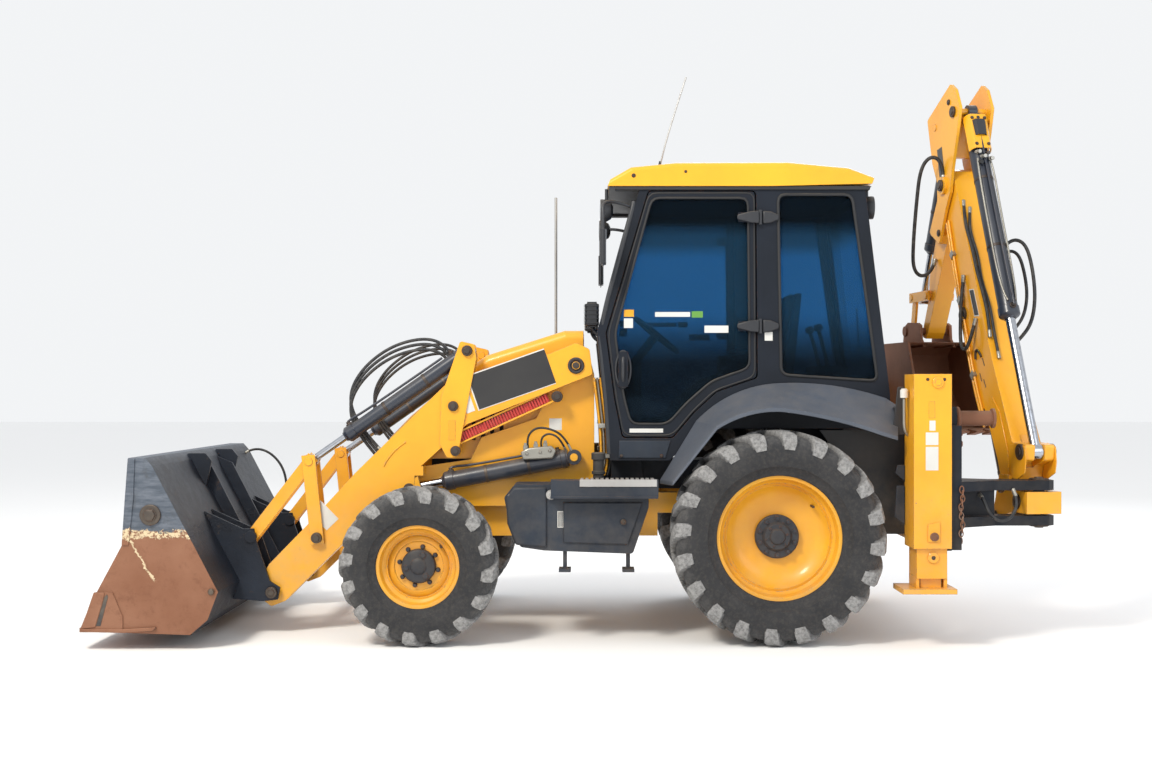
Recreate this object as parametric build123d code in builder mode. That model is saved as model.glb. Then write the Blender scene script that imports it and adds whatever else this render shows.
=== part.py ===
from build123d import *
from math import cos, pi, radians, sin, tan
import os

# A sideshift backhoe loader, in millimetres: +X to the rear, +Y to the machine's right, +Z up.
# Places along the machine are given behind the rear axle; the frame's origin lies on the ground
# under the middle of the machine's length.
REAR_AXLE_X = 1178.0
WHEELBASE = 2170.0
HALF_WIDTH = 1180.0

# Wheels: outer radius to the lugs' tips, section width, rim bead radius, middle plane, and the
# tread's lugs: their height and how many stand on each side.
REAR_TYRE_R = 650.0
REAR_TYRE_W = 430.0
REAR_BEAD_R = 372.0
REAR_WHEEL_Y = 915.0
REAR_LUG_H = 26.0
REAR_LUGS = 20
FRONT_TYRE_R = 480.0
FRONT_TYRE_W = 310.0
FRONT_BEAD_R = 246.0
FRONT_WHEEL_Y = 970.0
FRONT_LUG_H = 18.0
FRONT_LUGS = 16
KINGPIN_Y = 775.0

# Loader: arm plane, arm width and the pins of one side, each (behind the rear axle, up).
ARM_Y = 570.0
ARM_W = 100.0
TOWER_PIN = (-1226, 1696)
LIFT_FOOT_PIN = (-1239, 1116)
LIFT_ROD_PIN = (-2280, 919)
TILT_FOOT_PIN = (-1912, 1789)
LEVER_PIN = (-2858, 611)
LEVER_TOP_PIN = (-2909, 1090)
BUCKET_LUG_PIN = (-3271, 620)
BUCKET_PIN = (-3137, 271)

# Digger: the slew pin, the way the working plane points at rest and the pins in that plane,
# each (out from the slew pin, up).
SLEW_X = 1620.0
SLEW_Y = -860.0
SLEW_REST = 99.0
BOOM_FOOT_PIN = (220, 940)
BOOM_LIFT_FOOT_PIN = (320, 740)
BOOM_LIFT_HEAD_PIN = (885, 2050)
DIPPER_RAM_FOOT_PIN = (40, 1160)
DIPPER_PIN = (1150, 2960)
DIPPER_TAIL_PIN = (985, 3440)
DIPPER_ANGLE = 26.0
DIPPER_LENGTH = 1100.0
DIGGER_BUCKET_W = 520.0

PIN_R = 25.0
RUN_GAP = 0.5
FOOT_PAD_Z = 335.0

os.makedirs("parts", exist_ok=True)


def at(x, y, z):
    """A point of the machine, given behind the rear axle, across and up."""
    return Vector(REAR_AXLE_X + x, y, z)


def side_plane(y):
    """The fore-and-aft plane at y; its sketches read (behind the rear axle, up)."""
    return Plane(origin=at(0, y, 0), x_dir=(1, 0, 0), z_dir=(0, -1, 0))


def cross_plane(x):
    """The plane across the machine at x; its sketches read (across, up)."""
    return Plane(origin=at(x, 0, 0), x_dir=(0, 1, 0), z_dir=(1, 0, 0))


def level_plane(z):
    """The level plane at z; its sketches read (behind the rear axle, across)."""
    return Plane(origin=at(0, 0, z), x_dir=(1, 0, 0), z_dir=(0, 0, 1))


DIG_OUT = Vector(cos(radians(SLEW_REST)), sin(radians(SLEW_REST)), 0)
DIG_SIDE = Vector(sin(radians(SLEW_REST)), -cos(radians(SLEW_REST)), 0)
DIG_PLANE = Plane(origin=at(SLEW_X, SLEW_Y, 0), x_dir=DIG_OUT, z_dir=DIG_SIDE)


def dig(point, w=0.0):
    """A point of the digger's working plane, w to the side of it."""
    return DIG_PLANE.from_local_coords(Vector(point[0], point[1], w))


def slab(plane, points, thickness, mode=Mode.ADD, rounding=0.0):
    """A flat plate of the given outline, its corners rounded, standing on the plane."""
    with BuildSketch(plane) as outline:
        with BuildLine():
            Polyline(*points, close=True)
        make_face()
        if rounding:
            fillet(outline.vertices(), radius=rounding)
    extrude(outline.sketch, amount=thickness, mode=mode)


def slab_across(points, y_low, y_high, mode=Mode.ADD, rounding=0.0):
    """A fore-and-aft outline made solid from y_low to y_high."""
    slab(side_plane(y_high), points, y_high - y_low, mode, rounding)


def pair_across(points, y_in, y_out, mode=Mode.ADD, rounding=0.0):
    """The same plate on both sides of the machine."""
    slab_across(points, y_in, y_out, mode, rounding)
    slab_across(points, -y_out, -y_in, mode, rounding)


def dig_slab(points, width, w=0.0, mode=Mode.ADD, rounding=0.0):
    """A plate of the digger, width wide, its middle w to the side of the working plane."""
    slab(DIG_PLANE.offset(w - width / 2), points, width, mode, rounding)


def block(x0, x1, y0, y1, z0, z1, mode=Mode.ADD):
    """A plain block between two corners."""
    with Locations(at((x0 + x1) / 2, (y0 + y1) / 2, (z0 + z1) / 2)):
        Box(x1 - x0, y1 - y0, z1 - z0, mode=mode)


def bar(start, end, radius, mode=Mode.ADD):
    """A round bar between two points."""
    span = Vector(end) - Vector(start)
    with Locations(Plane(origin=start, z_dir=span).location):
        Cylinder(radius, span.length, align=(Align.CENTER, Align.CENTER, Align.MIN), mode=mode)


def boss(centre, axis, radius, length, mode=Mode.ADD):
    """A round boss, or a bore, centred on a point."""
    with Locations(Plane(origin=centre, z_dir=axis).location):
        Cylinder(radius, length, mode=mode)


def stubs(centre, axis, radius, inner, outer):
    """The two ends of a pin, leaving the middle free for an eye that is held by its own ram."""
    for hand in (-1, 1):
        middle = Vector(centre) + Vector(axis).normalized() * (hand * (inner + outer) / 2)
        boss(middle, axis, radius, outer - inner)


def save(part, name, label):
    """Label a finished sub-part and write its STEP file."""
    part.label = label
    export_step(part, f"parts/{name}.step")


ACROSS = (0, 1, 0)

# ---------------------------------------------------------------- wheels
WHEELS = [
    # name, behind the rear axle, side, tyre radius, width, bead radius, middle plane, lug height,
    # lugs on each side, hub radius
    ("rear_left", 0.0, -1, REAR_TYRE_R, REAR_TYRE_W, REAR_BEAD_R, REAR_WHEEL_Y, REAR_LUG_H, REAR_LUGS,
     140.0),
    ("rear_right", 0.0, 1, REAR_TYRE_R, REAR_TYRE_W, REAR_BEAD_R, REAR_WHEEL_Y, REAR_LUG_H, REAR_LUGS,
     140.0),
    ("front_left", -WHEELBASE, -1, FRONT_TYRE_R, FRONT_TYRE_W, FRONT_BEAD_R, FRONT_WHEEL_Y,
     FRONT_LUG_H, FRONT_LUGS, 130.0),
    ("front_right", -WHEELBASE, 1, FRONT_TYRE_R, FRONT_TYRE_W, FRONT_BEAD_R, FRONT_WHEEL_Y,
     FRONT_LUG_H, FRONT_LUGS, 130.0),
]


def ring_loft(middle, sides, stations, mode=Mode.ADD):
    """A many-sided body of revolution about the axle: (along the axle, out to its flats) stations."""
    rings = []
    for along, out in stations:
        flat_plane = Plane(origin=middle + Vector(0, along, 0), x_dir=(0, 0, -1), z_dir=(0, 1, 0))
        with BuildSketch(flat_plane) as ring:
            RegularPolygon(out, sides, major_radius=False, rotation=180 / sides)
        rings.append(ring.sketch)
    loft(rings, ruled=True, mode=mode)


for name, x, side, tyre_r, tyre_w, bead_r, mid_y, lug_h, lugs, hub_r in WHEELS:
    half = tyre_w / 2
    crown_r = tyre_r - lug_h
    shoulder_r = (bead_r + tyre_r) / 2
    centre = at(x, side * mid_y, tyre_r)
    # the sketch reads (outward along the axle, out from the axle)
    section = Plane(origin=centre, x_dir=(0, side, 0), z_dir=(side, 0, 0))
    axle = Axis(centre, (0, 1, 0))
    # a pair of lugs stands on each flat of the carcass: slanted bars from the tread's middle out
    # over the shoulders, where they fall away
    flat_length = 2 * crown_r * tan(pi / lugs)
    with BuildPart() as tread:
        for hand in (-1, 1):
            feet = []
            for lug in range(lugs):
                turn = 2 * pi * lug / lugs
                out = Vector(sin(turn), 0, -cos(turn))
                feet.append(Plane(origin=centre + out * (crown_r - 40), x_dir=(0, hand, 0), z_dir=out))
            with BuildSketch(*feet):
                with BuildLine():
                    Polyline(
                        (5, -0.40 * flat_length),
                        (half * 0.94, 0.10 * flat_length),
                        (half * 0.94, 0.44 * flat_length),
                        (5, -0.06 * flat_length),
                        close=True,
                    )
                make_face()
            extrude(amount=lug_h + 60)
        ring_loft(centre, lugs, [(-half, tyre_r - 46), (-half * 0.62, tyre_r), (half * 0.62, tyre_r),
                                 (half, tyre_r - 46)], mode=Mode.INTERSECT)
    with BuildPart() as tyre:
        ring_loft(centre, lugs, [
            (-half * 0.80, bead_r - 20), (-half, shoulder_r), (-half * 0.78, crown_r),
            (half * 0.78, crown_r), (half, shoulder_r), (half * 0.80, bead_r - 20),
        ])
        add(tread.part)
        ring_loft(centre, lugs, [(-half * 0.66, bead_r + 20), (half * 0.66, bead_r + 20)],
                  mode=Mode.SUBTRACT)
        ring_loft(centre, lugs, [(-half, bead_r - 20), (half, bead_r - 20)], mode=Mode.SUBTRACT)
    save(tyre.part, f"tyre_{name}", f"{name.replace('_', ' ')} tyre")

    rim_out = half * 0.65
    with BuildPart() as rim:
        with BuildSketch(section):
            with BuildLine():
                Polyline(
                    (-rim_out, bead_r - 28),
                    (-rim_out, bead_r + 8),
                    (-rim_out + 14, bead_r + 8),
                    (-rim_out + 14, bead_r - 14),
                    (rim_out - 14, bead_r - 14),
                    (rim_out - 14, bead_r + 8),
                    (rim_out, bead_r + 8),
                    (rim_out, bead_r - 28),
                    close=True,
                )
            make_face()
        revolve(axis=axle)
        with BuildSketch(section):
            with BuildLine():
                Polyline(
                    (10, 20),
                    (10, hub_r + 45),
                    (rim_out * 0.45, bead_r - 60),
                    (rim_out * 0.45, bead_r - 20),
                    (rim_out * 0.45 + 14, bead_r - 20),
                    (rim_out * 0.45 + 14, bead_r - 66),
                    (26, hub_r + 40),
                    (26, hub_r),
                    (95, hub_r - 12),
                    (95, 0),
                    (10, 0),
                    close=True,
                )
            make_face()
        revolve(axis=axle)
    save(rim.part, f"rim_{name}", f"{name.replace('_', ' ')} rim and hub")

# ---------------------------------------------------------------- chassis
# The towers are wide plates inside the loader arms, from the front axle to the cab; the arms'
# pins stand out from them.
TOWER_IN = 482.0
TOWER_OUT = 510.0
TOWER_OUTLINE = [
    (-2230, 800), (-1345, 800), (-1345, 560), (-1110, 560), (-1110, 1640), (-1150, 1790),
    (-1300, 1790), (-1345, 1640), (-1480, 1360), (-1830, 1240), (-1900, 1098), (-2230, 1050),
]
FRAME_FRONT = -2440.0
with BuildPart() as chassis_frame:
    for side in (-1, 1):
        rail_mid = side * 360
        block(FRAME_FRONT, -700, rail_mid - 50, rail_mid + 50, 600, 800)
        block(-900, 868, rail_mid - 50, rail_mid + 50, 748, 880)
    block(FRAME_FRONT, FRAME_FRONT + 100, -410, 410, 600, 790)
    block(FRAME_FRONT - 60, FRAME_FRONT, -400, 400, 560, 790)
    block(-1345, -1110, -TOWER_OUT, TOWER_OUT, 600, 760)
    block(-850, -700, -360, 360, 600, 800)
    block(400, 520, -360, 360, 760, 880)
    pair_across(TOWER_OUTLINE, TOWER_IN, TOWER_OUT)
    for side in (-1, 1):
        bar(at(TOWER_PIN[0], side * TOWER_IN, TOWER_PIN[1]),
            at(TOWER_PIN[0], side * (ARM_Y + ARM_W / 2 + 18), TOWER_PIN[1]), PIN_R)
        bar(at(LIFT_FOOT_PIN[0], side * TOWER_IN, LIFT_FOOT_PIN[1]),
            at(LIFT_FOOT_PIN[0], side * (ARM_Y + 42), LIFT_FOOT_PIN[1]), PIN_R)
save(chassis_frame.part, "chassis_frame", "main frame with the loader towers")

with BuildPart() as engine_block:
    block(-2180, -1420, -230, 230, 810, 1390)
    block(-1420, -300, -180, 180, 890, 1080)
save(engine_block.part, "engine_block", "engine and gearbox")

with BuildPart() as axles:
    block(-WHEELBASE - 90, -WHEELBASE + 90, -640, 640, 420, 560)
    block(-WHEELBASE - 70, -WHEELBASE + 70, -150, 150, 560, 640)
    for side in (-1, 1):
        for z0, z1 in ((340, 372), (588, 620)):
            block(-WHEELBASE - 60, -WHEELBASE + 60, *sorted((side * 640, side * 830)), z0, z1)
        block(-WHEELBASE - 60, -WHEELBASE + 60, *sorted((side * 620, side * 690)), 340, 620)
        bar(at(-WHEELBASE, side * KINGPIN_Y, 340), at(-WHEELBASE, side * KINGPIN_Y, 620), 22)
    bar(at(0, -690, REAR_TYRE_R), at(0, 690, REAR_TYRE_R), 95)
    with Locations(at(0, 0, REAR_TYRE_R)):
        Sphere(200)
save(axles.part, "axles", "front axle beam and rear axle casing")

for side, name in ((-1, "left"), (1, "right")):
    with BuildPart() as knuckle:
        kingpin = at(-WHEELBASE, side * KINGPIN_Y, FRONT_TYRE_R)
        boss(kingpin, (0, 0, 1), 60, 200)
        bar(kingpin, at(-WHEELBASE, side * (FRONT_WHEEL_Y + 4), FRONT_TYRE_R), 50)
        block(-WHEELBASE, -WHEELBASE + 190, *sorted((side * 745, side * 775)), 440, 480)
        boss(kingpin, (0, 0, 1), 22 + RUN_GAP, 300, mode=Mode.SUBTRACT)
    save(knuckle.part, f"knuckle_{name}", f"{name} steering knuckle")

# ---------------------------------------------------------------- nose and bonnet
BONNET_TOP = [
    (-2425, 1240), (-2300, 1370), (-2150, 1500), (-1980, 1640), (-1806, 1765), (-1300, 1925),
    (-1180, 1925),
]
BONNET_HALF = 450.0
with BuildPart() as nose:
    block(-2450, -2380, -400, 400, 800, 1190)
    for slat in range(8):
        z = 830 + slat * 42
        block(-2462, -2445, -340, 340, z, z + 14)
    for side in (-1, 1):
        block(-2468, -2440, *sorted((side * 345, side * 398)), 805, 1180)
save(nose.part, "nose", "radiator grille and surround")

with BuildPart() as bonnet:
    outer = [(-2440, 1200), *BONNET_TOP, (-1180, 1100), (-2360, 1100), (-2360, 1200)]
    slab_across(outer, -BONNET_HALF, BONNET_HALF)
    shoulders = bonnet.edges().filter_by(
        lambda edge: abs(abs(edge.center().Y) - BONNET_HALF) < 1 and edge.center().Z > 1250
        and abs(edge.center().X - at(-1180, 0, 0).X) > 1)
    fillet(shoulders, radius=55)
    inner = [(-2376, 1060), (-2376, 1244), (-2290, 1336), (-2136, 1466), (-1966, 1606), (-1796, 1735),
             (-1304, 1897), (-1140, 1897), (-1140, 1060)]
    slab_across(inner, -BONNET_HALF + 25, BONNET_HALF - 25, mode=Mode.SUBTRACT)
    for side in (-1, 1):
        for slot in range(7):
            x = -2080 + slot * 60
            block(x, x + 26, *sorted((side * (BONNET_HALF - 40), side * (BONNET_HALF + 10))), 1220, 1420,
                  mode=Mode.SUBTRACT)
save(bonnet.part, "bonnet", "bonnet")

# ---------------------------------------------------------------- side tanks with steps
TANK_OUTLINE = [
    (-1596, 967), (-1660, 888), (-1625, 719), (-1560, 586), (-1415, 565), (-877, 545), (-780, 828),
    (-780, 967),
]
STEP_FRONT = -1290.0
STEP_REAR = -905.0
with BuildPart() as side_tanks:
    for side in (-1, 1):
        y_in, y_out = sorted((side * 680, side * 950))
        slab_across(TANK_OUTLINE, y_in, y_out, rounding=24)
        block(-1100, -910, *sorted((side * 412, side * 690)), 765, 800)
        block(-1373, -726, *sorted((side * 950, side * 1060)), 900, 1000)
        # two hangers are all that is left of the lower step
        for x in (STEP_FRONT, STEP_REAR):
            block(x - 12, x + 12, *sorted((side * 870, side * 930)), 445, 580)
            block(x - 36, x + 36, *sorted((side * 870, side * 1000)), 440, 458)
save(side_tanks.part, "side_tanks", "fuel and hydraulic tanks with steps")

# ---------------------------------------------------------------- cab
CAB_Y = 705.0
CAB_WALL = 45.0
FLOOR_Z = 1100.0
CAB_SIDE = [
    (-1093, 1910), (-824, 2810), (584, 2810), (740, 1510), (740, 1300), (-440, 1300),
    (-640, FLOOR_Z), (-1012, FLOOR_Z),
]
DOOR_OUTLINE = [
    (-774, 2790), (-98, 2790), (-88, 1616), (-342, 1529), (-486, 1397), (-618, 1241), (-937, 1241),
    (-987, 1491), (-1040, 1898),
]
QUARTER_WINDOW = [(40, 2760), (500, 2760), (660, 1600), (60, 1640)]
with BuildPart() as cab_frame:
    slab_across(CAB_SIDE, -CAB_Y, CAB_Y)
    hollow = [
        (-1060, 1905), (-790, 2790), (552, 2790), (706, 1500), (706, 1330), (-430, 1330),
        (-625, FLOOR_Z + 20), (-985, FLOOR_Z + 20),
    ]
    slab_across(hollow, -CAB_Y + CAB_WALL, CAB_Y - CAB_WALL, mode=Mode.SUBTRACT)
    slab_across(DOOR_OUTLINE, -CAB_Y - 10, CAB_Y + 10, mode=Mode.SUBTRACT, rounding=30)
    slab_across(QUARTER_WINDOW, -CAB_Y - 10, CAB_Y + 10, mode=Mode.SUBTRACT, rounding=30)
    windscreen = [(-CAB_Y + 70, 1380), (CAB_Y - 70, 1380), (CAB_Y - 70, 2740), (-CAB_Y + 70, 2740)]
    slab(cross_plane(-1200), windscreen, 560, mode=Mode.SUBTRACT)
    rear_window = [(-CAB_Y + 70, 1620), (CAB_Y - 70, 1620), (CAB_Y - 70, 2740), (-CAB_Y + 70, 2740)]
    slab(cross_plane(520), rear_window, 300, mode=Mode.SUBTRACT)
    for side in (-1, 1):
        block(-1000, -800, *sorted((side * 320, side * 400)), 882, FLOOR_Z + 10)
        block(100, 500, *sorted((side * 320, side * 400)), 882, 1310)
save(cab_frame.part, "cab_frame", "cab frame and floor")

with BuildPart() as cab_roof:
    slab_across(
        [(-1027, 2815), (-1010, 2860), (-880, 2935), (-600, 2962), (100, 2965), (480, 2930),
         (640, 2870), (625, 2830), (0, 2815)],
        -CAB_Y - 20, CAB_Y + 20,
    )
    fillet(cab_roof.edges().filter_by(lambda edge: abs(edge.center().Y) > CAB_Y and edge.center().Z > 2880),
           radius=28)
save(cab_roof.part, "cab_roof", "cab roof")

with BuildPart() as cab_glass:
    for side in (-1, 1):
        y_in, y_out = sorted((side * 680, side * 688))
        slab_across(QUARTER_WINDOW, y_in, y_out, rounding=30)
    slab_across([(-1080, 1905), (-832, 2735), (-824, 2735), (-1072, 1905)], -CAB_Y + 70, CAB_Y - 70)
    slab_across([(-1080, 1905), (-1072, 1905), (-1021, 1380), (-1029, 1380)], -CAB_Y + 70, CAB_Y - 70)
    slab_across([(576, 2735), (584, 2735), (722, 1620), (714, 1620)], -CAB_Y + 70, CAB_Y - 70)
save(cab_glass.part, "cab_glass", "fixed cab windows")

for side, name in ((-1, "left"), (1, "right")):
    y_in, y_out = sorted((side * (CAB_Y - 40), side * CAB_Y))
    with BuildPart() as door:
        door_rim = [
            (-768, 2783), (-107, 2783), (-97, 1621), (-346, 1535), (-491, 1402), (-622, 1248),
            (-931, 1248), (-980, 1492), (-1032, 1897),
        ]
        slab_across(door_rim, y_in, y_out, rounding=26)
        pane = [(-750, 2740), (-150, 2740), (-140, 1680), (-375, 1600), (-530, 1465), (-650, 1330),
                (-880, 1330), (-925, 1500), (-980, 1895)]
        slab_across(pane, y_in - 5, y_out + 5, mode=Mode.SUBTRACT, rounding=24)
        for z in (1940, 2620):
            block(-210, -68, *sorted((side * (CAB_Y + 6), side * (CAB_Y + 26))), z - 30, z + 30)
            block(-210, -150, *sorted((side * (CAB_Y - 2), side * (CAB_Y + 8))), z - 30, z + 30)
        block(-960, -900, *sorted((side * (CAB_Y - 4), side * (CAB_Y + 28))), 1560, 1780)
    save(door.part, f"door_{name}", f"{name} cab door")
    with BuildPart() as door_glass:
        slab_across(pane, *sorted((side * (CAB_Y - 24), side * (CAB_Y - 18))), rounding=24)
    save(door_glass.part, f"door_glass_{name}", f"{name} door window")

# mudguard edges, each a straight front, two arcs over the wheel and a straight tail
FENDER_EDGES = [
    # distance across, front foot, front top, arc middle, crown, arc middle, rear, tail
    (715.0, (-700, 979), (-475, 1348), (-213, 1529), (49, 1585), (380, 1570), (711, 1491), (786, 1441)),
    (1050.0, (-640, 990), (-374, 1325), (-182, 1412), (20, 1433), (320, 1380), (620, 1290),
     (714, 1262)),
]
FENDER_THICK = 24.0
with BuildPart() as fenders:
    for side in (-1, 1):
        for across, foot, front, rise, crown, fall, rear, tail in FENDER_EDGES:
            down = Vector(0, -FENDER_THICK)
            with BuildSketch(side_plane(side * across)):
                with BuildLine():
                    Line(foot, front)
                    ThreePointArc(front, rise, crown)
                    ThreePointArc(crown, fall, rear)
                    Line(rear, tail)
                    Line(tail, Vector(*tail) + down)
                    Line(Vector(*tail) + down, Vector(*rear) + down)
                    ThreePointArc(Vector(*rear) + down, Vector(*fall) + down, Vector(*crown) + down)
                    ThreePointArc(Vector(*crown) + down, Vector(*rise) + down, Vector(*front) + down)
                    Line(Vector(*front) + down, Vector(*foot) + down)
                    Line(Vector(*foot) + down, foot)
                make_face()
        loft(ruled=True)
save(fenders.part, "fenders", "rear mudguards")

with BuildPart() as seat:
    slab_across([(-330, 1530), (-290, 1640), (80, 1620), (175, 2200), (215, 2240), (280, 2240),
                 (300, 2200), (190, 1500), (-300, 1500)], -245, 245)
save(seat.part, "seat", "seat cushion and back")

with BuildPart() as console:
    block(-300, 140, -200, 200, 1335, 1495)
    block(-960, -800, -200, 200, FLOOR_Z + 25, 1720)
    bar(at(-860, 0, 1700), at(-700, 0, 1900), 30)
    with Locations(Plane(origin=at(-690, 0, 1912), z_dir=(160, 0, 200)).location):
        Torus(180, 14)
        Box(360, 30, 12)
        Box(30, 360, 12)
    block(-240, 200, 290, 420, 1335, 1780)
    block(360, 560, -250, 250, 1335, 1700)
save(console.part, "console", "seat base, dashboard, steering wheel and levers")

with BuildPart() as mast:
    bar(at(-1379, 466, 1000), at(-1379, 466, 2905), 10)
    block(-1400, -1350, 412, 478, 780, 1010)
save(mast.part, "mast", "aerial mast")

with BuildPart() as lamps:
    for side in (-1, 1):
        block(-1075, -985, *sorted((side * 480, side * 640)), 2600, 2760)
        block(612, 664, *sorted((side * 480, side * 640)), 2620, 2780)
        block(-1178, -1078, *sorted((side * 385, side * 490)), 1945, 2110)
        block(-1075, -1050, *sorted((side * 770, side * 940)), 2300, 2540)
        bar(at(-1000, side * 700, 2600), at(-1062, side * 800, 2600), 9)
        bar(at(-1062, side * 800, 2600), at(-1062, side * 800, 2530), 9)
save(lamps.part, "lamps", "head lamps and working lamps")

# ---------------------------------------------------------------- loader
ARM_IN = ARM_Y - ARM_W / 2
ARM_OUT = ARM_Y + ARM_W / 2
ARM_REAR = [(-1120, 1640), (-1222, 1600), (-1915, 1325), (-2060, 1190), (-2060, 1480), (-1900, 1560),
            (-1226, 1840), (-1140, 1800)]
ARM_FRONT = [(-2015, 1610), (-2617, 1021), (-2928, 684), (-3163, 443), (-3230, 330), (-3225, 235),
             (-3150, 175), (-3061, 210), (-2655, 612), (-2330, 868), (-2249, 935), (-2242, 1027),
             (-2052, 1198), (-1963, 1400)]
KNEE = [(-1956, 1850), (-1867, 1830), (-1855, 1740), (-1963, 1173), (-1985, 1115), (-2040, 1115),
        (-2085, 1200), (-2075, 1500), (-2007, 1700)]
with BuildPart() as loader_arms:
    pair_across(ARM_REAR, ARM_IN, ARM_OUT, rounding=20)
    pair_across(ARM_FRONT, ARM_IN, ARM_OUT, rounding=20)
    pair_across(KNEE, ARM_IN - 14, ARM_IN, rounding=16)
    pair_across(KNEE, ARM_OUT, ARM_OUT + 14, rounding=16)
    for side in (-1, 1):
        slab_across(
            [(-2340, 900), (-2225, 1000), (-2200, 900), (-2240, 870), (-2310, 870)],
            *sorted((side * (ARM_Y - 48), side * (ARM_Y - 34))),
        )
        slab_across(
            [(-2340, 900), (-2225, 1000), (-2200, 900), (-2240, 870), (-2310, 870)],
            *sorted((side * (ARM_Y + 34), side * (ARM_Y + 48))),
        )
        block(-2250, -2190, *sorted((side * ARM_IN, side * ARM_OUT)), 1000, 1060)
    bar(at(-3005, -ARM_IN, 450), at(-3005, ARM_IN, 450), 62)
    for side in (-1, 1):
        mid = side * ARM_Y
        # slots for the rams' eyes
        slab_across([(-2400, 1010), (-2160, 1010), (-2160, 800), (-2400, 800)],
                    mid - 34, mid + 34, mode=Mode.SUBTRACT)
        boss(at(TOWER_PIN[0], mid, TOWER_PIN[1]), ACROSS, PIN_R + RUN_GAP, 200, mode=Mode.SUBTRACT)
        boss(at(BUCKET_PIN[0], mid, BUCKET_PIN[1]), ACROSS, PIN_R + RUN_GAP, 200, mode=Mode.SUBTRACT)
        stubs(at(LIFT_ROD_PIN[0], mid, LIFT_ROD_PIN[1]), ACROSS, PIN_R, 36, 58)
        boss(at(TILT_FOOT_PIN[0], mid, TILT_FOOT_PIN[1]), ACROSS, PIN_R, 140)
        boss(at(LEVER_PIN[0], mid, LEVER_PIN[1]), ACROSS, PIN_R, 160)
save(loader_arms.part, "loader_arms", "loader arms")


def link_outline(first, second, half_width):
    """A straight bar's outline between two pins, in the plane of the pins."""
    along = (Vector(*second) - Vector(*first)).normalized()
    out = Vector(-along.Y, along.X) * half_width
    first_end = Vector(*first) - along * half_width
    second_end = Vector(*second) + along * half_width
    corners = (first_end + out, second_end + out, second_end - out, first_end - out)
    return [(corner.X, corner.Y) for corner in corners]


with BuildPart() as tilt_levers:
    for side in (-1, 1):
        for offset in (-68, 68):
            mid = side * ARM_Y + offset
            slab_across(link_outline(LEVER_PIN, LEVER_TOP_PIN, 42), mid - 10, mid + 10)
            boss(at(LEVER_PIN[0], mid, LEVER_PIN[1]), ACROSS, PIN_R + RUN_GAP, 30, mode=Mode.SUBTRACT)
        stubs(at(LEVER_TOP_PIN[0], side * ARM_Y, LEVER_TOP_PIN[1]), ACROSS, PIN_R, 36, 84)
save(tilt_levers.part, "tilt_levers", "tilt levers")

with BuildPart() as tilt_links:
    for side in (-1, 1):
        for offset in (-46, 46):
            mid = side * ARM_Y + offset
            slab_across(link_outline(LEVER_TOP_PIN, BUCKET_LUG_PIN, 38), mid - 8, mid + 8)
        boss(at(LEVER_TOP_PIN[0], side * ARM_Y, LEVER_TOP_PIN[1]), ACROSS, PIN_R + RUN_GAP, 150,
             mode=Mode.SUBTRACT)
        boss(at(BUCKET_LUG_PIN[0], side * ARM_Y, BUCKET_LUG_PIN[1]), ACROSS, PIN_R, 136)
save(tilt_links.part, "tilt_links", "tilt links")

BUCKET_OUTER = [(-4154, 112), (-3503, 91), (-3400, 180), (-3338, 346), (-3728, 1091), (-3770, 1139),
                (-3870, 1139), (-3888, 890), (-3906, 624), (-4065, 328)]
BUCKET_INNER = [(-4200, 132), (-3515, 111), (-3420, 190), (-3360, 346), (-3745, 1080), (-3775, 1119),
                (-3900, 1119), (-4300, 1119)]
with BuildPart() as loader_bucket:
    slab_across(BUCKET_OUTER, -HALF_WIDTH, HALF_WIDTH)
    slab_across(BUCKET_INNER, -HALF_WIDTH + 20, HALF_WIDTH - 20, mode=Mode.SUBTRACT)
    block(-4165, -4020, -HALF_WIDTH + 20, HALF_WIDTH - 20, 104, 130)
    for side in (-1, 1):
        wall_in, wall_out = sorted((side * (HALF_WIDTH - 8), side * (HALF_WIDTH + 8)))
        slab_across([(-4140, 112), (-4060, 345), (-3960, 345), (-3900, 200), (-3900, 106)],
                    wall_in, wall_out)
        slab_across([(-3870, 1135), (-3888, 890), (-3906, 624), (-3866, 624), (-3838, 890), (-3830, 1135)],
                    wall_in, wall_out)
        rib_in, rib_out = sorted((side * 250, side * 270))
        slab_across([(-3728, 1085), (-3620, 1040), (-3290, 400), (-3338, 350)], rib_in, rib_out)
    for side in (-1, 1):
        slab_across([(-3766, 1130), (-3640, 1130), (-3600, 1080), (-3640, 900), (-3686, 900)],
                    *sorted((side * 330, side * 350)), rounding=14)
    for side in (-1, 1):
        for offset in (-86, 86):
            mid = side * ARM_Y + offset
            slab_across(
                [(-3345, 330), (-3380, 230), (-3180, 215), (-3100, 225), (-3085, 300), (-3150, 340),
                 (-3235, 590), (-3250, 670), (-3320, 670), (-3560, 780)],
                mid - 9, mid + 9,
            )
        boss(at(BUCKET_PIN[0], side * ARM_Y, BUCKET_PIN[1]), ACROSS, PIN_R, 190)
        stubs(at(BUCKET_LUG_PIN[0], side * ARM_Y, BUCKET_LUG_PIN[1]), ACROSS, PIN_R + 12, 77, 106)
save(loader_bucket.part, "loader_bucket", "loader bucket")


def ram_barrel(foot, head, closed, axis, radius):
    """A barrel from its foot eye, closed long, ready for a rod towards the head."""
    way = (Vector(head) - Vector(foot)).normalized()
    bar(Vector(foot) + way * 40, Vector(foot) + way * closed, radius)
    boss(foot, axis, 48, 60)
    bar(Vector(foot) + way * 90, Vector(foot) + way * (closed + 10), radius * 0.5 + 3, mode=Mode.SUBTRACT)
    boss(foot, axis, PIN_R + RUN_GAP, 160, mode=Mode.SUBTRACT)


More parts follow.
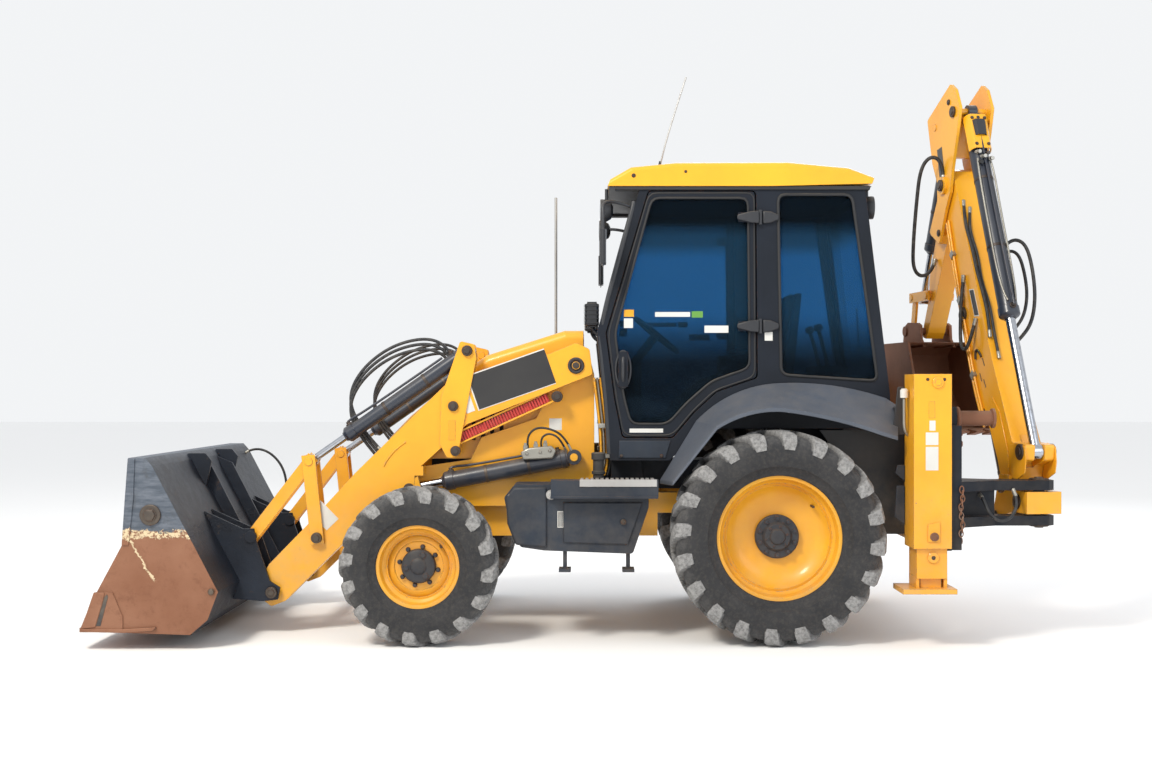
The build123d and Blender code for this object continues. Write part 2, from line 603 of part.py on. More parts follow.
def ram_rod(foot, head, piston, axis, radius):
    """The rod from its end inside the barrel, piston from the foot pin, to its eye."""
    way = (Vector(head) - Vector(foot)).normalized()
    bar(Vector(foot) + way * piston, Vector(head) - way * 20, radius * 0.5)
    boss(head, axis, 46, 60)


LOADER_RAMS = [
    # name, foot pin, head pin, barrel length, rod's inner end, barrel radius
    ("lift_ram", LIFT_FOOT_PIN, LIFT_ROD_PIN, 830, 100, 55),
    ("tilt_ram", TILT_FOOT_PIN, LEVER_TOP_PIN, 930, 340, 46),
]
for name, foot, head, closed, piston, radius in LOADER_RAMS:
    with BuildPart() as barrels:
        for side in (-1, 1):
            ends = [at(pin[0], side * ARM_Y, pin[1]) for pin in (foot, head)]
            ram_barrel(*ends, closed, ACROSS, radius)
    save(barrels.part, f"{name}_barrels", f"{name.replace('_', ' ')} barrels")
    with BuildPart() as rods:
        for side in (-1, 1):
            ends = [at(pin[0], side * ARM_Y, pin[1]) for pin in (foot, head)]
            ram_rod(*ends, piston, ACROSS, radius)
    save(rods.part, f"{name}_rods", f"{name.replace('_', ' ')} rods")

# ---------------------------------------------------------------- rear frame and stabilisers
STAB_X0 = 780.0
STAB_X1 = 1005.0
STAB_Y0 = 930.0
STAB_Y1 = 1175.0
STAB_TOP = 1636.0
with BuildPart() as rear_frame:
    for side in (-1, 1):
        y0, y1 = sorted((side * STAB_Y0, side * STAB_Y1))
        block(STAB_X0, STAB_X1, y0, y1, 600, STAB_TOP)
        block(STAB_X0 + 14, STAB_X1 - 14, y0 + 14, y1 - 14, 500, STAB_TOP - 14, mode=Mode.SUBTRACT)
        boss(at((STAB_X0 + STAB_X1) / 2 + 30, side * STAB_Y1, STAB_TOP - 50), ACROSS, 30, 8)
    block(870, 1000, -STAB_Y0, STAB_Y0, 600, 740)
    block(870, 1000, -STAB_Y0, STAB_Y0, 1180, 1300)
    for side in (-1, 1):
        block(870, 980, *sorted((side * 310, side * 410)), 700, 1220)
save(rear_frame.part, "rear_frame", "rear frame with the stabiliser tubes")

for side, name in ((-1, "left"), (1, "right")):
    y0, y1 = sorted((side * STAB_Y0, side * STAB_Y1))
    with BuildPart() as leg:
        block(STAB_X0 + 22, STAB_X1 - 22, y0 + 22, y1 - 22, 420, 1580)
        block(STAB_X0 - 70, STAB_X1 + 25, y0 - 30, y1, FOOT_PAD_Z, FOOT_PAD_Z + 30)
        block(STAB_X0 + 50, STAB_X1 - 50, y0 + 50, y1 - 50, FOOT_PAD_Z + 20, 440)
        for x in (STAB_X0 + 30, STAB_X1 - 30):
            block(x - 10, x + 10, y0 + 30, y1 - 30, FOOT_PAD_Z + 20, 430)
    save(leg.part, f"stabiliser_leg_{name}", f"{name} stabiliser leg and foot")

# ---------------------------------------------------------------- sideshift carriage and kingpost
CARRIAGE_HALF = 290.0
with BuildPart() as carriage:
    block(1012, 1070, SLEW_Y - CARRIAGE_HALF, SLEW_Y + CARRIAGE_HALF, 590, 1330)
    block(850, 1070, SLEW_Y - 60, SLEW_Y + 60, 1308, 1340)
    block(850, 1070, SLEW_Y - 60, SLEW_Y + 60, 560, 592)
    block(1060, 1330, SLEW_Y - 60, SLEW_Y + 60, 770, 935)
    for z0, z1 in ((715, 775), (930, 990)):
        slab(level_plane(z0), [(1060, SLEW_Y - 230), (1330, SLEW_Y - 75), (SLEW_X + 40, SLEW_Y - 75),
                               (SLEW_X + 80, SLEW_Y - 35), (SLEW_X + 80, SLEW_Y + 35),
                               (SLEW_X + 40, SLEW_Y + 75), (1330, SLEW_Y + 75), (1060, SLEW_Y + 230)],
             z1 - z0)
    bar(at(SLEW_X, SLEW_Y, 720), at(SLEW_X, SLEW_Y, 985), 35)
    bar(at(1064, SLEW_Y - 110, 1370), at(1310, SLEW_Y - 110, 1370), 43)
    bar(at(1064, SLEW_Y - 110, 1370), at(1085, SLEW_Y - 110, 1370), 62)
    block(1012, 1070, SLEW_Y - 180, SLEW_Y - 40, 1325, 1440)
save(carriage.part, "carriage", "sideshift carriage")

CHEEK_W = 112.0
with BuildPart() as kingpost:
    dig_slab([(-70, 785), (135, 785), (135, 920), (-70, 920)], 2 * CHEEK_W)
    for w in (-CHEEK_W, CHEEK_W):
        dig_slab([(100, 785), (100, 915), (155, 915), (155, 1010), (285, 1010), (310, 940), (372, 760),
                  (365, 700), (320, 684), (275, 700), (215, 760)], 24, w)
    boss(dig(BOOM_FOOT_PIN), DIG_SIDE, PIN_R, 2 * CHEEK_W + 40)
    boss(dig(BOOM_LIFT_FOOT_PIN), DIG_SIDE, PIN_R, 2 * CHEEK_W + 40)
    bar(at(SLEW_X, SLEW_Y, 760), at(SLEW_X, SLEW_Y, 1000), 35 + RUN_GAP, mode=Mode.SUBTRACT)
save(kingpost.part, "kingpost", "kingpost casting")

# ---------------------------------------------------------------- digger
BOOM_OUTLINE = [
    (160, 900), (280, 880), (370, 1100), (560, 1420), (660, 1420), (720, 1520), (860, 1880),
    (1225, 2850), (1262, 2960), (1225, 3050), (1150, 3075), (1075, 3050), (1040, 2990), (737, 2350),
    (461, 1750), (310, 1480), (165, 1215), (-20, 1205), (-10, 1110), (130, 1070),
]
with BuildPart() as boom:
    dig_slab(BOOM_OUTLINE, 190, rounding=18)
    dig_slab([(-60, 1260), (190, 1260), (150, 1060), (-60, 1060)], 66, mode=Mode.SUBTRACT)
    # the boom ram runs between the side plates
    dig_slab([(262, 900), (802, 2086), (850, 2150), (930, 2150), (1100, 2090), (800, 1200), (420, 820)],
             134, mode=Mode.SUBTRACT)
    boss(dig(BOOM_FOOT_PIN), DIG_SIDE, 58, 190)
    boss(dig(BOOM_FOOT_PIN), DIG_SIDE, PIN_R + RUN_GAP, 320, mode=Mode.SUBTRACT)
    stubs(dig(DIPPER_RAM_FOOT_PIN), DIG_SIDE, PIN_R + 8, 36, 102)
    stubs(dig(BOOM_LIFT_HEAD_PIN), DIG_SIDE, PIN_R + 8, 36, 102)
    boss(dig(DIPPER_PIN), DIG_SIDE, PIN_R, 290)
save(boom.part, "boom", "boom")

DIPPER_WAY = Vector(sin(radians(DIPPER_ANGLE)), -cos(radians(DIPPER_ANGLE)))
DIPPER_OUT = Vector(cos(radians(DIPPER_ANGLE)), sin(radians(DIPPER_ANGLE)))


def on_dipper(s, n):
    """A point s along the dipper from its pin and n out from it, in the working plane."""
    place = Vector(*DIPPER_PIN) + DIPPER_WAY * s + DIPPER_OUT * n
    return (place.X, place.Y)


BUCKET_RAM_FOOT_PIN = on_dipper(-320, 323)
DIG_LEVER_PIN = on_dipper(830, 20)
DIG_LEVER_TOP_PIN = on_dipper(950, 265)
DIG_BUCKET_PIN = on_dipper(DIPPER_LENGTH, 0)
DIG_BUCKET_LUG_PIN = on_dipper(1190, 200)
DIPPER_CHEEK = [
    (1040, 3640), (960, 3590), (885, 3450), (930, 3290), (1010, 3060), (1045, 2900), (1120, 2790),
    (1230, 2560), (1400, 2660), (1262, 2870), (1262, 2990), (1348, 3142), (1437, 3464),
]
DIPPER_BEAM = [
    # along the dipper, out from it
    (250, 90), (400, 97), (700, 85), (870, 28), (1080, 30), (1140, 25), (1150, 0), (1140, -45),
    (1090, -60), (330, -100), (290, -60),
]
with BuildPart() as dipper:
    dig_slab([on_dipper(s, n) for s, n in DIPPER_BEAM], 130)
    for w in (-114, 114):
        dig_slab(DIPPER_CHEEK, 22, w, rounding=18)
        boss(dig(DIPPER_PIN, w + 0.15 * w), DIG_SIDE, 62, 26)
    # webs between the cheeks
    dig_slab([on_dipper(s, n) for s, n in ((262, 80), (395, 90), (395, -95), (330, -95), (290, -60))],
             226)
    dig_slab([(1100, 3450), (1150, 3450), (1190, 3155), (1140, 3155)], 226)
    boss(dig(DIPPER_PIN), DIG_SIDE, PIN_R + RUN_GAP, 320, mode=Mode.SUBTRACT)
    boss(dig(DIPPER_TAIL_PIN), DIG_SIDE, PIN_R, 260)
    boss(dig(BUCKET_RAM_FOOT_PIN), DIG_SIDE, PIN_R, 260)
    boss(dig(DIG_LEVER_PIN), DIG_SIDE, PIN_R, 215)
    boss(dig(DIG_BUCKET_PIN), DIG_SIDE, PIN_R + RUN_GAP, 320, mode=Mode.SUBTRACT)
save(dipper.part, "dipper", "dipper")

with BuildPart() as tipping_lever:
    for w in (-90, 90):
        dig_slab(link_outline(DIG_LEVER_PIN, DIG_LEVER_TOP_PIN, 36), 18, w)
        boss(dig(DIG_LEVER_PIN, w), DIG_SIDE, PIN_R + RUN_GAP, 30, mode=Mode.SUBTRACT)
    stubs(dig(DIG_LEVER_TOP_PIN), DIG_SIDE, PIN_R, 36, 104)
save(tipping_lever.part, "tipping_lever", "tipping lever")

with BuildPart() as tipping_link:
    for w in (-62, 62):
        dig_slab(link_outline(DIG_LEVER_TOP_PIN, DIG_BUCKET_LUG_PIN, 34), 18, w)
    boss(dig(DIG_LEVER_TOP_PIN), DIG_SIDE, PIN_R + RUN_GAP, 260, mode=Mode.SUBTRACT)
    boss(dig(DIG_BUCKET_LUG_PIN), DIG_SIDE, PIN_R, 170)
save(tipping_link.part, "tipping_link", "tipping link")

gx, gz = DIG_BUCKET_PIN
with BuildPart() as digger_bucket:
    half_w = DIGGER_BUCKET_W / 2
    shell = [(gx - 90, gz + 75), (gx + 240, gz + 60), (gx + 330, gz - 160), (gx + 260, gz - 430),
             (gx + 60, gz - 640), (gx - 200, gz - 720), (gx - 430, gz - 730)]
    dig_slab(shell, DIGGER_BUCKET_W)
    cavity = [(gx - 600, gz + 40), (gx - 120, gz - 100), (gx + 225, gz - 110), (gx + 300, gz - 170),
              (gx + 236, gz - 415), (gx + 48, gz - 615), (gx - 200, gz - 695), (gx - 600, gz - 705)]
    dig_slab(cavity, DIGGER_BUCKET_W - 36, mode=Mode.SUBTRACT)
    dig_slab([(gx - 160, gz + 100), (gx + 300, gz + 100), (gx + 300, gz - 85), (gx - 160, gz - 85)],
             DIGGER_BUCKET_W + 10, mode=Mode.SUBTRACT)
    for w in (-112, 112):
        dig_slab([(gx - 60, gz - 60), (gx - 50, gz + 40), (gx, gz + 60), (gx + 180, gz + 70),
                  (gx + 250, gz + 40), (gx + 270, gz - 60), (gx + 270, gz - 120), (gx - 120, gz - 120)],
                 20, w)
    boss(dig(DIG_BUCKET_PIN), DIG_SIDE, PIN_R, 240)
    stubs(dig(DIG_BUCKET_LUG_PIN), DIG_SIDE, PIN_R + 12, 100, 134)
    for tooth in range(5):
        w = (tooth - 2) * (DIGGER_BUCKET_W - 70) / 4
        dig_slab([(gx - 400, gz - 700), (gx - 400, gz - 745), (gx - 560, gz - 722), (gx - 560, gz - 712)],
                 62, w)
save(digger_bucket.part, "digger_bucket", "digger bucket")

DIG_RAMS = [
    # name, foot pin, head pin, barrel length, rod's inner end, barrel radius
    ("boom_ram", BOOM_LIFT_FOOT_PIN, BOOM_LIFT_HEAD_PIN, 850, 690, 56),
    ("dipper_ram", DIPPER_TAIL_PIN, DIPPER_RAM_FOOT_PIN, 1540, 950, 62),
    ("bucket_ram", BUCKET_RAM_FOOT_PIN, DIG_LEVER_TOP_PIN, 900, 700, 50),
]
for name, foot, head, closed, piston, radius in DIG_RAMS:
    with BuildPart() as barrel:
        ram_barrel(dig(foot), dig(head), closed, DIG_SIDE, radius)
    save(barrel.part, f"{name}_barrel", f"{name.replace('_', ' ')} barrel")
    with BuildPart() as rod:
        ram_rod(dig(foot), dig(head), piston, DIG_SIDE, radius)
    save(rod.part, f"{name}_rod", f"{name.replace('_', ' ')} rod")
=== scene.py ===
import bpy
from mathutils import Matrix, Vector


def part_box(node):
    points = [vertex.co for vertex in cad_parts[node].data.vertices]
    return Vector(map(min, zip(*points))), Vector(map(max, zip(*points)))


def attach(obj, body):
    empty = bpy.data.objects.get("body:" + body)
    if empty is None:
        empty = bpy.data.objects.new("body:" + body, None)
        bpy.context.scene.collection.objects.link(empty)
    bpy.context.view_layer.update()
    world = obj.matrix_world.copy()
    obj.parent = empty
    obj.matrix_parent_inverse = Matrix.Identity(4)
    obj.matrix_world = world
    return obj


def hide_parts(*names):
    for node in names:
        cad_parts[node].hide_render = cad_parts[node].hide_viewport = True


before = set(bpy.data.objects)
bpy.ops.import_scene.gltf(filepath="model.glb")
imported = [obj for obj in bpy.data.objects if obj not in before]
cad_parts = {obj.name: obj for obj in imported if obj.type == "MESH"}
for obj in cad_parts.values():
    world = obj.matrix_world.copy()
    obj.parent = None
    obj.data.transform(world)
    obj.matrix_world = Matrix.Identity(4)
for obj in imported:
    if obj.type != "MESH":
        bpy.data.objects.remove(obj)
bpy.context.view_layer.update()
import bmesh
import bpy
import math
import random
from mathutils import Matrix, Vector

# ---------------------------------------------------------------- camera and studio
# The camera stands off the machine's left side at the height of a person's eyes. The studio is a
# plain pale floor under a soft sky, with one large warm lamp high in front and a cool fill.
camera_data = bpy.data.cameras.new("camera")
camera_data.sensor_width = 36.0
camera_data.lens = 36.0 * 1403.0 / 1152.0
camera_data.shift_x = -0.0122
camera_data.shift_y = 0.0061
camera = bpy.data.objects.new("camera", camera_data)
bpy.context.scene.collection.objects.link(camera)
camera.location = (0.041, -9.48, 1.535)
camera.rotation_euler = (math.radians(90), 0, 0)
bpy.context.scene.camera = camera


def show(name, data):
    """A new object of the scene."""
    made = bpy.data.objects.new(name, data)
    bpy.context.scene.collection.objects.link(made)
    return made


def wire(tree, kind, options=(), **sockets):
    """A shader node with its options set, each socket given a value or joined to an output."""
    made = tree.nodes.new("ShaderNode" + kind)
    for option, value in dict(options).items():
        setattr(made, option, value)
    for socket, value in sockets.items():
        target = made.inputs[int(socket[1:])] if socket[1:].isdigit() else made.inputs[socket]
        if isinstance(value, bpy.types.NodeSocket):
            tree.links.new(value, target)
        else:
            target.default_value = value
    return made


floor_mesh = bpy.data.meshes.new("floor")
floor_mesh.from_pydata([(-60, -60, 0), (60, -60, 0), (60, 60, 0), (-60, 60, 0)], [], [(0, 1, 2, 3)])
floor = show("floor", floor_mesh)
floor_finish = bpy.data.materials.new("studio_floor")
floor_finish.use_nodes = True
floor_shader = floor_finish.node_tree.nodes["Principled BSDF"]
floor_shader.inputs["Base Color"].default_value = (0.93, 0.93, 0.93, 1)
floor_shader.inputs["Roughness"].default_value = 0.9
floor_mesh.materials.append(floor_finish)

world = bpy.data.worlds.new("studio")
world.use_nodes = True
sky = world.node_tree.nodes["Background"]
sky.inputs["Color"].default_value = (0.97, 0.985, 1.0, 1)
sky.inputs["Strength"].default_value = 0.92
bpy.context.scene.world = world
bpy.context.scene.view_settings.view_transform = "Standard"

for lamp_name, place, aim, size, power, colour in (
    ("key", (-4.5, -7.0, 8.5), (0.2, 0, 1.2), 2.4, 900, (1.0, 0.94, 0.84)),
    ("fill", (6.5, -6.0, 4.0), (0.5, 0, 1.2), 5.0, 110, (0.86, 0.92, 1.0)),
    ("back", (3.0, 8.0, 7.0), (0, 0, 1.5), 5.0, 260, (0.95, 0.97, 1.0)),
):
    lamp_data = bpy.data.lights.new(lamp_name, "AREA")
    lamp_data.shape = "DISK"
    lamp_data.size = size
    lamp_data.energy = power
    lamp_data.color = colour
    lamp = show(lamp_name, lamp_data)
    lamp.location = place
    lamp.rotation_euler = (Vector(aim) - Vector(place)).to_track_quat("-Z", "Y").to_euler()


# ---------------------------------------------------------------- frame, towers and painted steelwork
# The main frame, the loader towers and the booms are welded plate, sprayed yellow over grey primer.
# Years of sand have dusted the flats, and the edges are chipped through to primer and rust.
def noise(tree, place, scale, detail=5.0, rough=0.6, twist=0.0):
    """Cloudy noise, about 0.5 in the mean."""
    return wire(tree, "TexNoise", Vector=place, Scale=scale, Detail=detail, Roughness=rough,
                Distortion=twist).outputs["Fac"]


def step_up(tree, value, low, high):
    """0 below low, 1 above high, and a straight slope between them."""
    return wire(tree, "MapRange", {"clamp": True}, Value=value, i1=low, i2=high).outputs[0]


def maths(tree, operation, first, second):
    """One sum of two values."""
    return wire(tree, "Math", {"operation": operation, "use_clamp": False}, i0=first, i1=second).outputs[0]


def blend_colours(tree, share, first, second):
    """The first colour going over to the second as the share goes from 0 to 1."""
    return wire(tree, "Mix", {"data_type": "RGBA"}, i0=share, i6=first, i7=second).outputs[2]


def hue(red, green, blue):
    return (red, green, blue, 1)


DUST = hue(0.42, 0.33, 0.22)


def weathered(name, colour, shade, under, rough=0.4, metal=0.0, chips=0.35, dust=0.35, grain=0.0006,
              edge=0.005, dirt_top=1.3, streaks=0.25, coat=0.0, shine=0.5):
    """A worn finish: a coat of colour, clouded by shade, chipped to what is under it, and dusted."""
    made = bpy.data.materials.new(name)
    made.use_nodes = True
    tree = made.node_tree
    shader = tree.nodes["Principled BSDF"]
    spot = wire(tree, "TexCoord")
    place = spot.outputs["Object"]
    height = wire(tree, "SeparateXYZ", Vector=place).outputs["Z"]
    facing_up = wire(tree, "SeparateXYZ", Vector=spot.outputs["Normal"]).outputs["Z"]
    cloud = noise(tree, place, 1.4)
    patch = noise(tree, place, 9.0, 6.0, 0.65)
    fleck = noise(tree, place, 55.0, 5.0, 0.7)
    run_place = wire(tree, "Mapping", Vector=place, Scale=(26, 26, 1.6)).outputs[0]
    run = noise(tree, run_place, 1.0, 4.0)
    rounded = wire(tree, "Bevel", {"samples": 4}, Radius=edge).outputs[0]
    flat = wire(tree, "NewGeometry").outputs["True Normal"]
    along = wire(tree, "VectorMath", {"operation": "DOT_PRODUCT"}, i0=rounded, i1=flat).outputs["Value"]
    at_edge = step_up(tree, along, 0.999, 0.86)

    coat_colour = blend_colours(tree, step_up(tree, cloud, 0.35, 0.68), colour, shade)
    streaked = maths(tree, "MULTIPLY", step_up(tree, run, 0.55, 0.8), streaks)
    coat_colour = blend_colours(tree, streaked, coat_colour, shade)
    low_down = step_up(tree, height, dirt_top, 0.25)
    settled = maths(tree, "ADD", step_up(tree, facing_up, 0.35, 1.0), low_down)
    dusty = maths(tree, "MULTIPLY", settled, step_up(tree, patch, 0.34, 0.72))
    dusty = maths(tree, "MULTIPLY", dusty, dust)
    coat_colour = blend_colours(tree, dusty, coat_colour, DUST)
    worn = maths(tree, "ADD", maths(tree, "MULTIPLY", at_edge, 0.26), fleck)
    worn = maths(tree, "ADD", worn, maths(tree, "MULTIPLY", patch, 0.35))
    chipped = step_up(tree, worn, 1.02 - 0.3 * chips, 1.06 - 0.3 * chips)
    tree.links.new(blend_colours(tree, chipped, coat_colour, under), shader.inputs["Base Color"])
    dull = maths(tree, "ADD", maths(tree, "MULTIPLY", dusty, 0.5), maths(tree, "MULTIPLY", fleck, 0.16))
    dull = maths(tree, "ADD", dull, maths(tree, "MULTIPLY", chipped, 0.3))
    tree.links.new(maths(tree, "ADD", dull, rough - 0.08), shader.inputs["Roughness"])
    shader.inputs["Metallic"].default_value = metal
    shader.inputs["Coat Weight"].default_value = coat
    shader.inputs["Specular IOR Level"].default_value = shine
    shader.inputs["Coat Roughness"].default_value = 0.12
    relief = maths(tree, "SUBTRACT", maths(tree, "MULTIPLY", patch, 0.7), chipped)
    relief = maths(tree, "ADD", relief, maths(tree, "MULTIPLY", fleck, 0.5))
    bump = wire(tree, "Bump", Height=relief, Distance=grain, Strength=0.8, Normal=rounded)
    tree.links.new(bump.outputs[0], shader.inputs["Normal"])
    return made


PRIMER = hue(0.17, 0.15, 0.14)
RUST = hue(0.15, 0.055, 0.025)
yellow_paint = weathered("yellow_paint", hue(0.87, 0.42, 0.012), hue(0.78, 0.33, 0.01), PRIMER, 0.36,
                         chips=0.45, dust=0.34, dirt_top=1.15, coat=0.25)
roof_paint = weathered("roof_paint", hue(0.86, 0.43, 0.012), hue(0.78, 0.36, 0.012), PRIMER, 0.3,
                       chips=0.1, dust=0.18, coat=0.35)
dark_paint = weathered("dark_paint", hue(0.012, 0.016, 0.025), hue(0.007, 0.009, 0.013), RUST, 0.42,
                       chips=0.2, dust=0.12, shine=0.22)
grey_paint = weathered("grey_paint", hue(0.028, 0.038, 0.055), hue(0.015, 0.02, 0.03), RUST, 0.46,
                       chips=0.25, dust=0.14, shine=0.28)
cast_dark = weathered("cast_dark", hue(0.022, 0.026, 0.034), hue(0.035, 0.034, 0.036), RUST, 0.62,
                      chips=0.4, dust=0.25, grain=0.0016, edge=0.008)
pin_steel = weathered("pin_steel", hue(0.1, 0.085, 0.075), hue(0.05, 0.042, 0.038), RUST, 0.45, metal=0.75,
                      chips=0.5, dust=0.3)


def finish_node(node, *materials):
    """Gives a frame piece its finish, in place of the plain one it came with."""
    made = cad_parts[node]
    made.data.materials.clear()
    for material in materials:
        made.data.materials.append(material)


for node in ("chassis_frame", "nose", "bonnet", "loader_arms", "tilt_levers", "tilt_links", "rear_frame",
             "stabiliser_leg_left", "stabiliser_leg_right", "kingpost", "boom", "dipper", "tipping_link",
             "tipping_lever"):
    finish_node(node, yellow_paint)
finish_node("cab_roof", roof_paint)
for node in ("cab_frame", "console", "lift_ram_barrels", "tilt_ram_barrels", "boom_ram_barrel",
             "dipper_ram_barrel", "bucket_ram_barrel", "door_left", "door_right"):
    finish_node(node, dark_paint)
for node in ("side_tanks", "engine_block"):
    finish_node(node, grey_paint)
for node in ("axles", "knuckle_left", "knuckle_right", "carriage"):
    finish_node(node, cast_dark)


# ---------------------------------------------------------------- tyres
# Four cross-ply industrial tyres: a moulded rubber carcass with slanted lugs that run from the
# middle of the tread over the shoulders. The lugs are scuffed pale on top and grey with sand.
def settle(made, body, material, smooth_under=35.0):
    """Gives a finished mesh its material and smooth shading, and lets it ride on a body."""
    if isinstance(made.data, bpy.types.Mesh):
        made.data.polygons.foreach_set("use_smooth", [True] * len(made.data.polygons))
        made.data.set_sharp_from_angle(angle=math.radians(smooth_under))
    made.data.materials.append(material)
    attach(made, body)
    return made


def from_bmesh(name, shape):
    """An object made from a bmesh, its faces turned outward."""
    bmesh.ops.recalc_face_normals(shape, faces=shape.faces)
    mesh = bpy.data.meshes.new(name)
    shape.to_mesh(mesh)
    shape.free()
    return show(name, mesh)


def turn_ring(shape, profile, centre, side, segments=72):
    """Adds a closed body of revolution about the axle; the profile reads (outward, radius)."""
    rings = []
    for step in range(segments):
        turn = 2 * math.pi * step / segments
        rings.append([
            shape.verts.new(centre + Vector((radius * math.sin(turn), side * out, radius * math.cos(turn))))
            for out, radius in profile
        ])
    count = len(profile)
    for step in range(segments):
        here, after = rings[step], rings[(step + 1) % segments]
        for point in range(count):
            follow = (point + 1) % count
            shape.faces.new((here[point], after[point], after[follow], here[follow]))


tyre_rubber = bpy.data.materials.new("tyre_rubber")
tyre_rubber.use_nodes = True
rubber_tree = tyre_rubber.node_tree
rubber = rubber_tree.nodes["Principled BSDF"]
rubber_place = wire(rubber_tree, "TexCoord").outputs["Object"]
rubber_cloud = noise(rubber_tree, rubber_place, 7.0)
rubber_patch = noise(rubber_tree, rubber_place, 46.0, 7.0, 0.72)
rubber_grit = noise(rubber_tree, rubber_place, 140.0, 4.0, 0.8)
scuff = wire(rubber_tree, "Attribute", {"attribute_name": "scuff"}).outputs["Fac"]
rubber_colour = blend_colours(rubber_tree, step_up(rubber_tree, rubber_cloud, 0.3, 0.7),
                              hue(0.02, 0.021, 0.024), hue(0.036, 0.036, 0.038))
sandy = maths(rubber_tree, "MULTIPLY", step_up(rubber_tree, rubber_patch, 0.46, 0.8), 0.22)
rubber_colour = blend_colours(rubber_tree, sandy, rubber_colour, hue(0.17, 0.145, 0.115))
scuffed = maths(rubber_tree, "MULTIPLY", scuff, step_up(rubber_tree, rubber_patch, 0.2, 0.58))
rubber_colour = blend_colours(rubber_tree, scuffed, rubber_colour, hue(0.3, 0.298, 0.295))
rubber_tree.links.new(rubber_colour, rubber.inputs["Base Color"])
rubber.inputs["Roughness"].default_value = 0.82
rubber.inputs["Specular IOR Level"].default_value = 0.35
rubber_relief = maths(rubber_tree, "ADD", rubber_patch, maths(rubber_tree, "MULTIPLY", rubber_grit, 0.5))
rubber_tree.links.new(wire(rubber_tree, "Bump", Height=rubber_relief, Distance=0.0022,
                           Strength=0.7).outputs[0], rubber.inputs["Normal"])

WHEELS = (
    # name, side, lugs a side, lug height, radius of the bead seat
    ("rear_left", -1, 20, 0.026, 0.372),
    ("rear_right", 1, 20, 0.026, 0.372),
    ("front_left", -1, 16, 0.018, 0.246),
    ("front_right", 1, 16, 0.018, 0.246),
)


def wheel_sizes(name):
    """The axle's point in the tyre's middle plane, the tyre's radius and half its width."""
    low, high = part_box("tyre_" + name)
    return (low + high) / 2, (high.z - low.z) / 2, (high.y - low.y) / 2


for name, side, lugs, lug_height, bead in WHEELS:
    centre, radius, half = wheel_sizes(name)
    crown = radius - lug_height
    depth = crown - bead
    shape = bmesh.new()
    outline = [
        (0.0, crown), (0.45, crown - 0.002), (0.72, crown - 0.01), (0.88, crown - 0.034),
        (0.955, crown - 0.26 * depth), (0.985, crown - 0.42 * depth), (0.975, crown - 0.6 * depth),
        (0.935, crown - 0.72 * depth), (0.93, crown - 0.745 * depth), (0.9, crown - 0.76 * depth),
        (0.84, crown - 0.86 * depth), (0.78, crown - 0.93 * depth), (0.775, crown - 0.955 * depth),
        (0.74, crown - 0.975 * depth), (0.69, bead + 0.004), (0.64, bead + 0.001), (0.6, bead + 0.012),
    ]
    profile = [(half * out, r) for out, r in outline] + [(-half * out, r) for out, r in reversed(outline[1:])]
    turn_ring(shape, profile, centre, side, 120)
    # lugs: stations (outward share, top radius, foot radius, how far round it has slanted, half width)
    pitch = 2 * math.pi / lugs
    stations = (
        (-0.03, radius, crown - 0.02, 0.0, 0.155), (0.16, radius, crown - 0.02, 0.06, 0.165),
        (0.4, radius - 0.001, crown - 0.02, 0.17, 0.175), (0.62, radius - 0.003, crown - 0.024, 0.31, 0.185),
        (0.8, radius - 0.009, crown - 0.036, 0.44, 0.2), (0.93, radius - 0.024, crown - 0.06, 0.53, 0.215),
        (0.992, radius - 0.058, crown - 0.09, 0.56, 0.215),
        (0.997, crown - 0.34 * depth, crown - 0.36 * depth, 0.57, 0.17),
    )
    for hand in (-1, 1):
        for lug in range(lugs):
            start = lug * pitch + (0.25 if hand > 0 else 0.75) * pitch
            sections = []
            for number, (out, top, foot, slant, wide) in enumerate(stations):
                foot_out = out if out < 0.95 else 0.93
                corners = []
                for spread, r, reach in ((-1.22, foot, foot_out), (-1.0, top, out), (1.0, top, out),
                                         (1.22, foot, foot_out)):
                    turn = start + (slant + spread * wide) * pitch
                    corners.append(shape.verts.new(centre + Vector((
                        r * math.sin(turn), hand * half * reach, r * math.cos(turn)))))
                sections.append(corners)
            for here, after in zip(sections, sections[1:]):
                for a, b in ((0, 1), (1, 2), (2, 3), (3, 0)):
                    shape.faces.new((here[a], here[b], after[b], after[a]))
            shape.faces.new(sections[0])
            shape.faces.new(sections[-1])
    tyre = from_bmesh("tyre_moulded_" + name, shape)
    softened = tyre.modifiers.new("rounded edges", "BEVEL")
    softened.width = 0.0045
    softened.segments = 2
    softened.limit_method = "ANGLE"
    softened.angle_limit = math.radians(40)
    wear = tyre.data.attributes.new("scuff", "FLOAT", "POINT")
    carcass = 120 * len(profile)
    for vertex in tyre.data.vertices:
        out = math.hypot(vertex.co.x - centre.x, vertex.co.z - centre.z)
        on_top = vertex.index >= carcass and (vertex.index - carcass) % 4 in (1, 2)
        between = 0.25 * max(0.0, min(1.0, (out - crown + 0.3 * depth) / (0.3 * depth)))
        wear.data[vertex.index].value = 0.95 if on_top else between
    settle(tyre, "wheel_" + name, tyre_rubber)
    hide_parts("tyre_" + name)

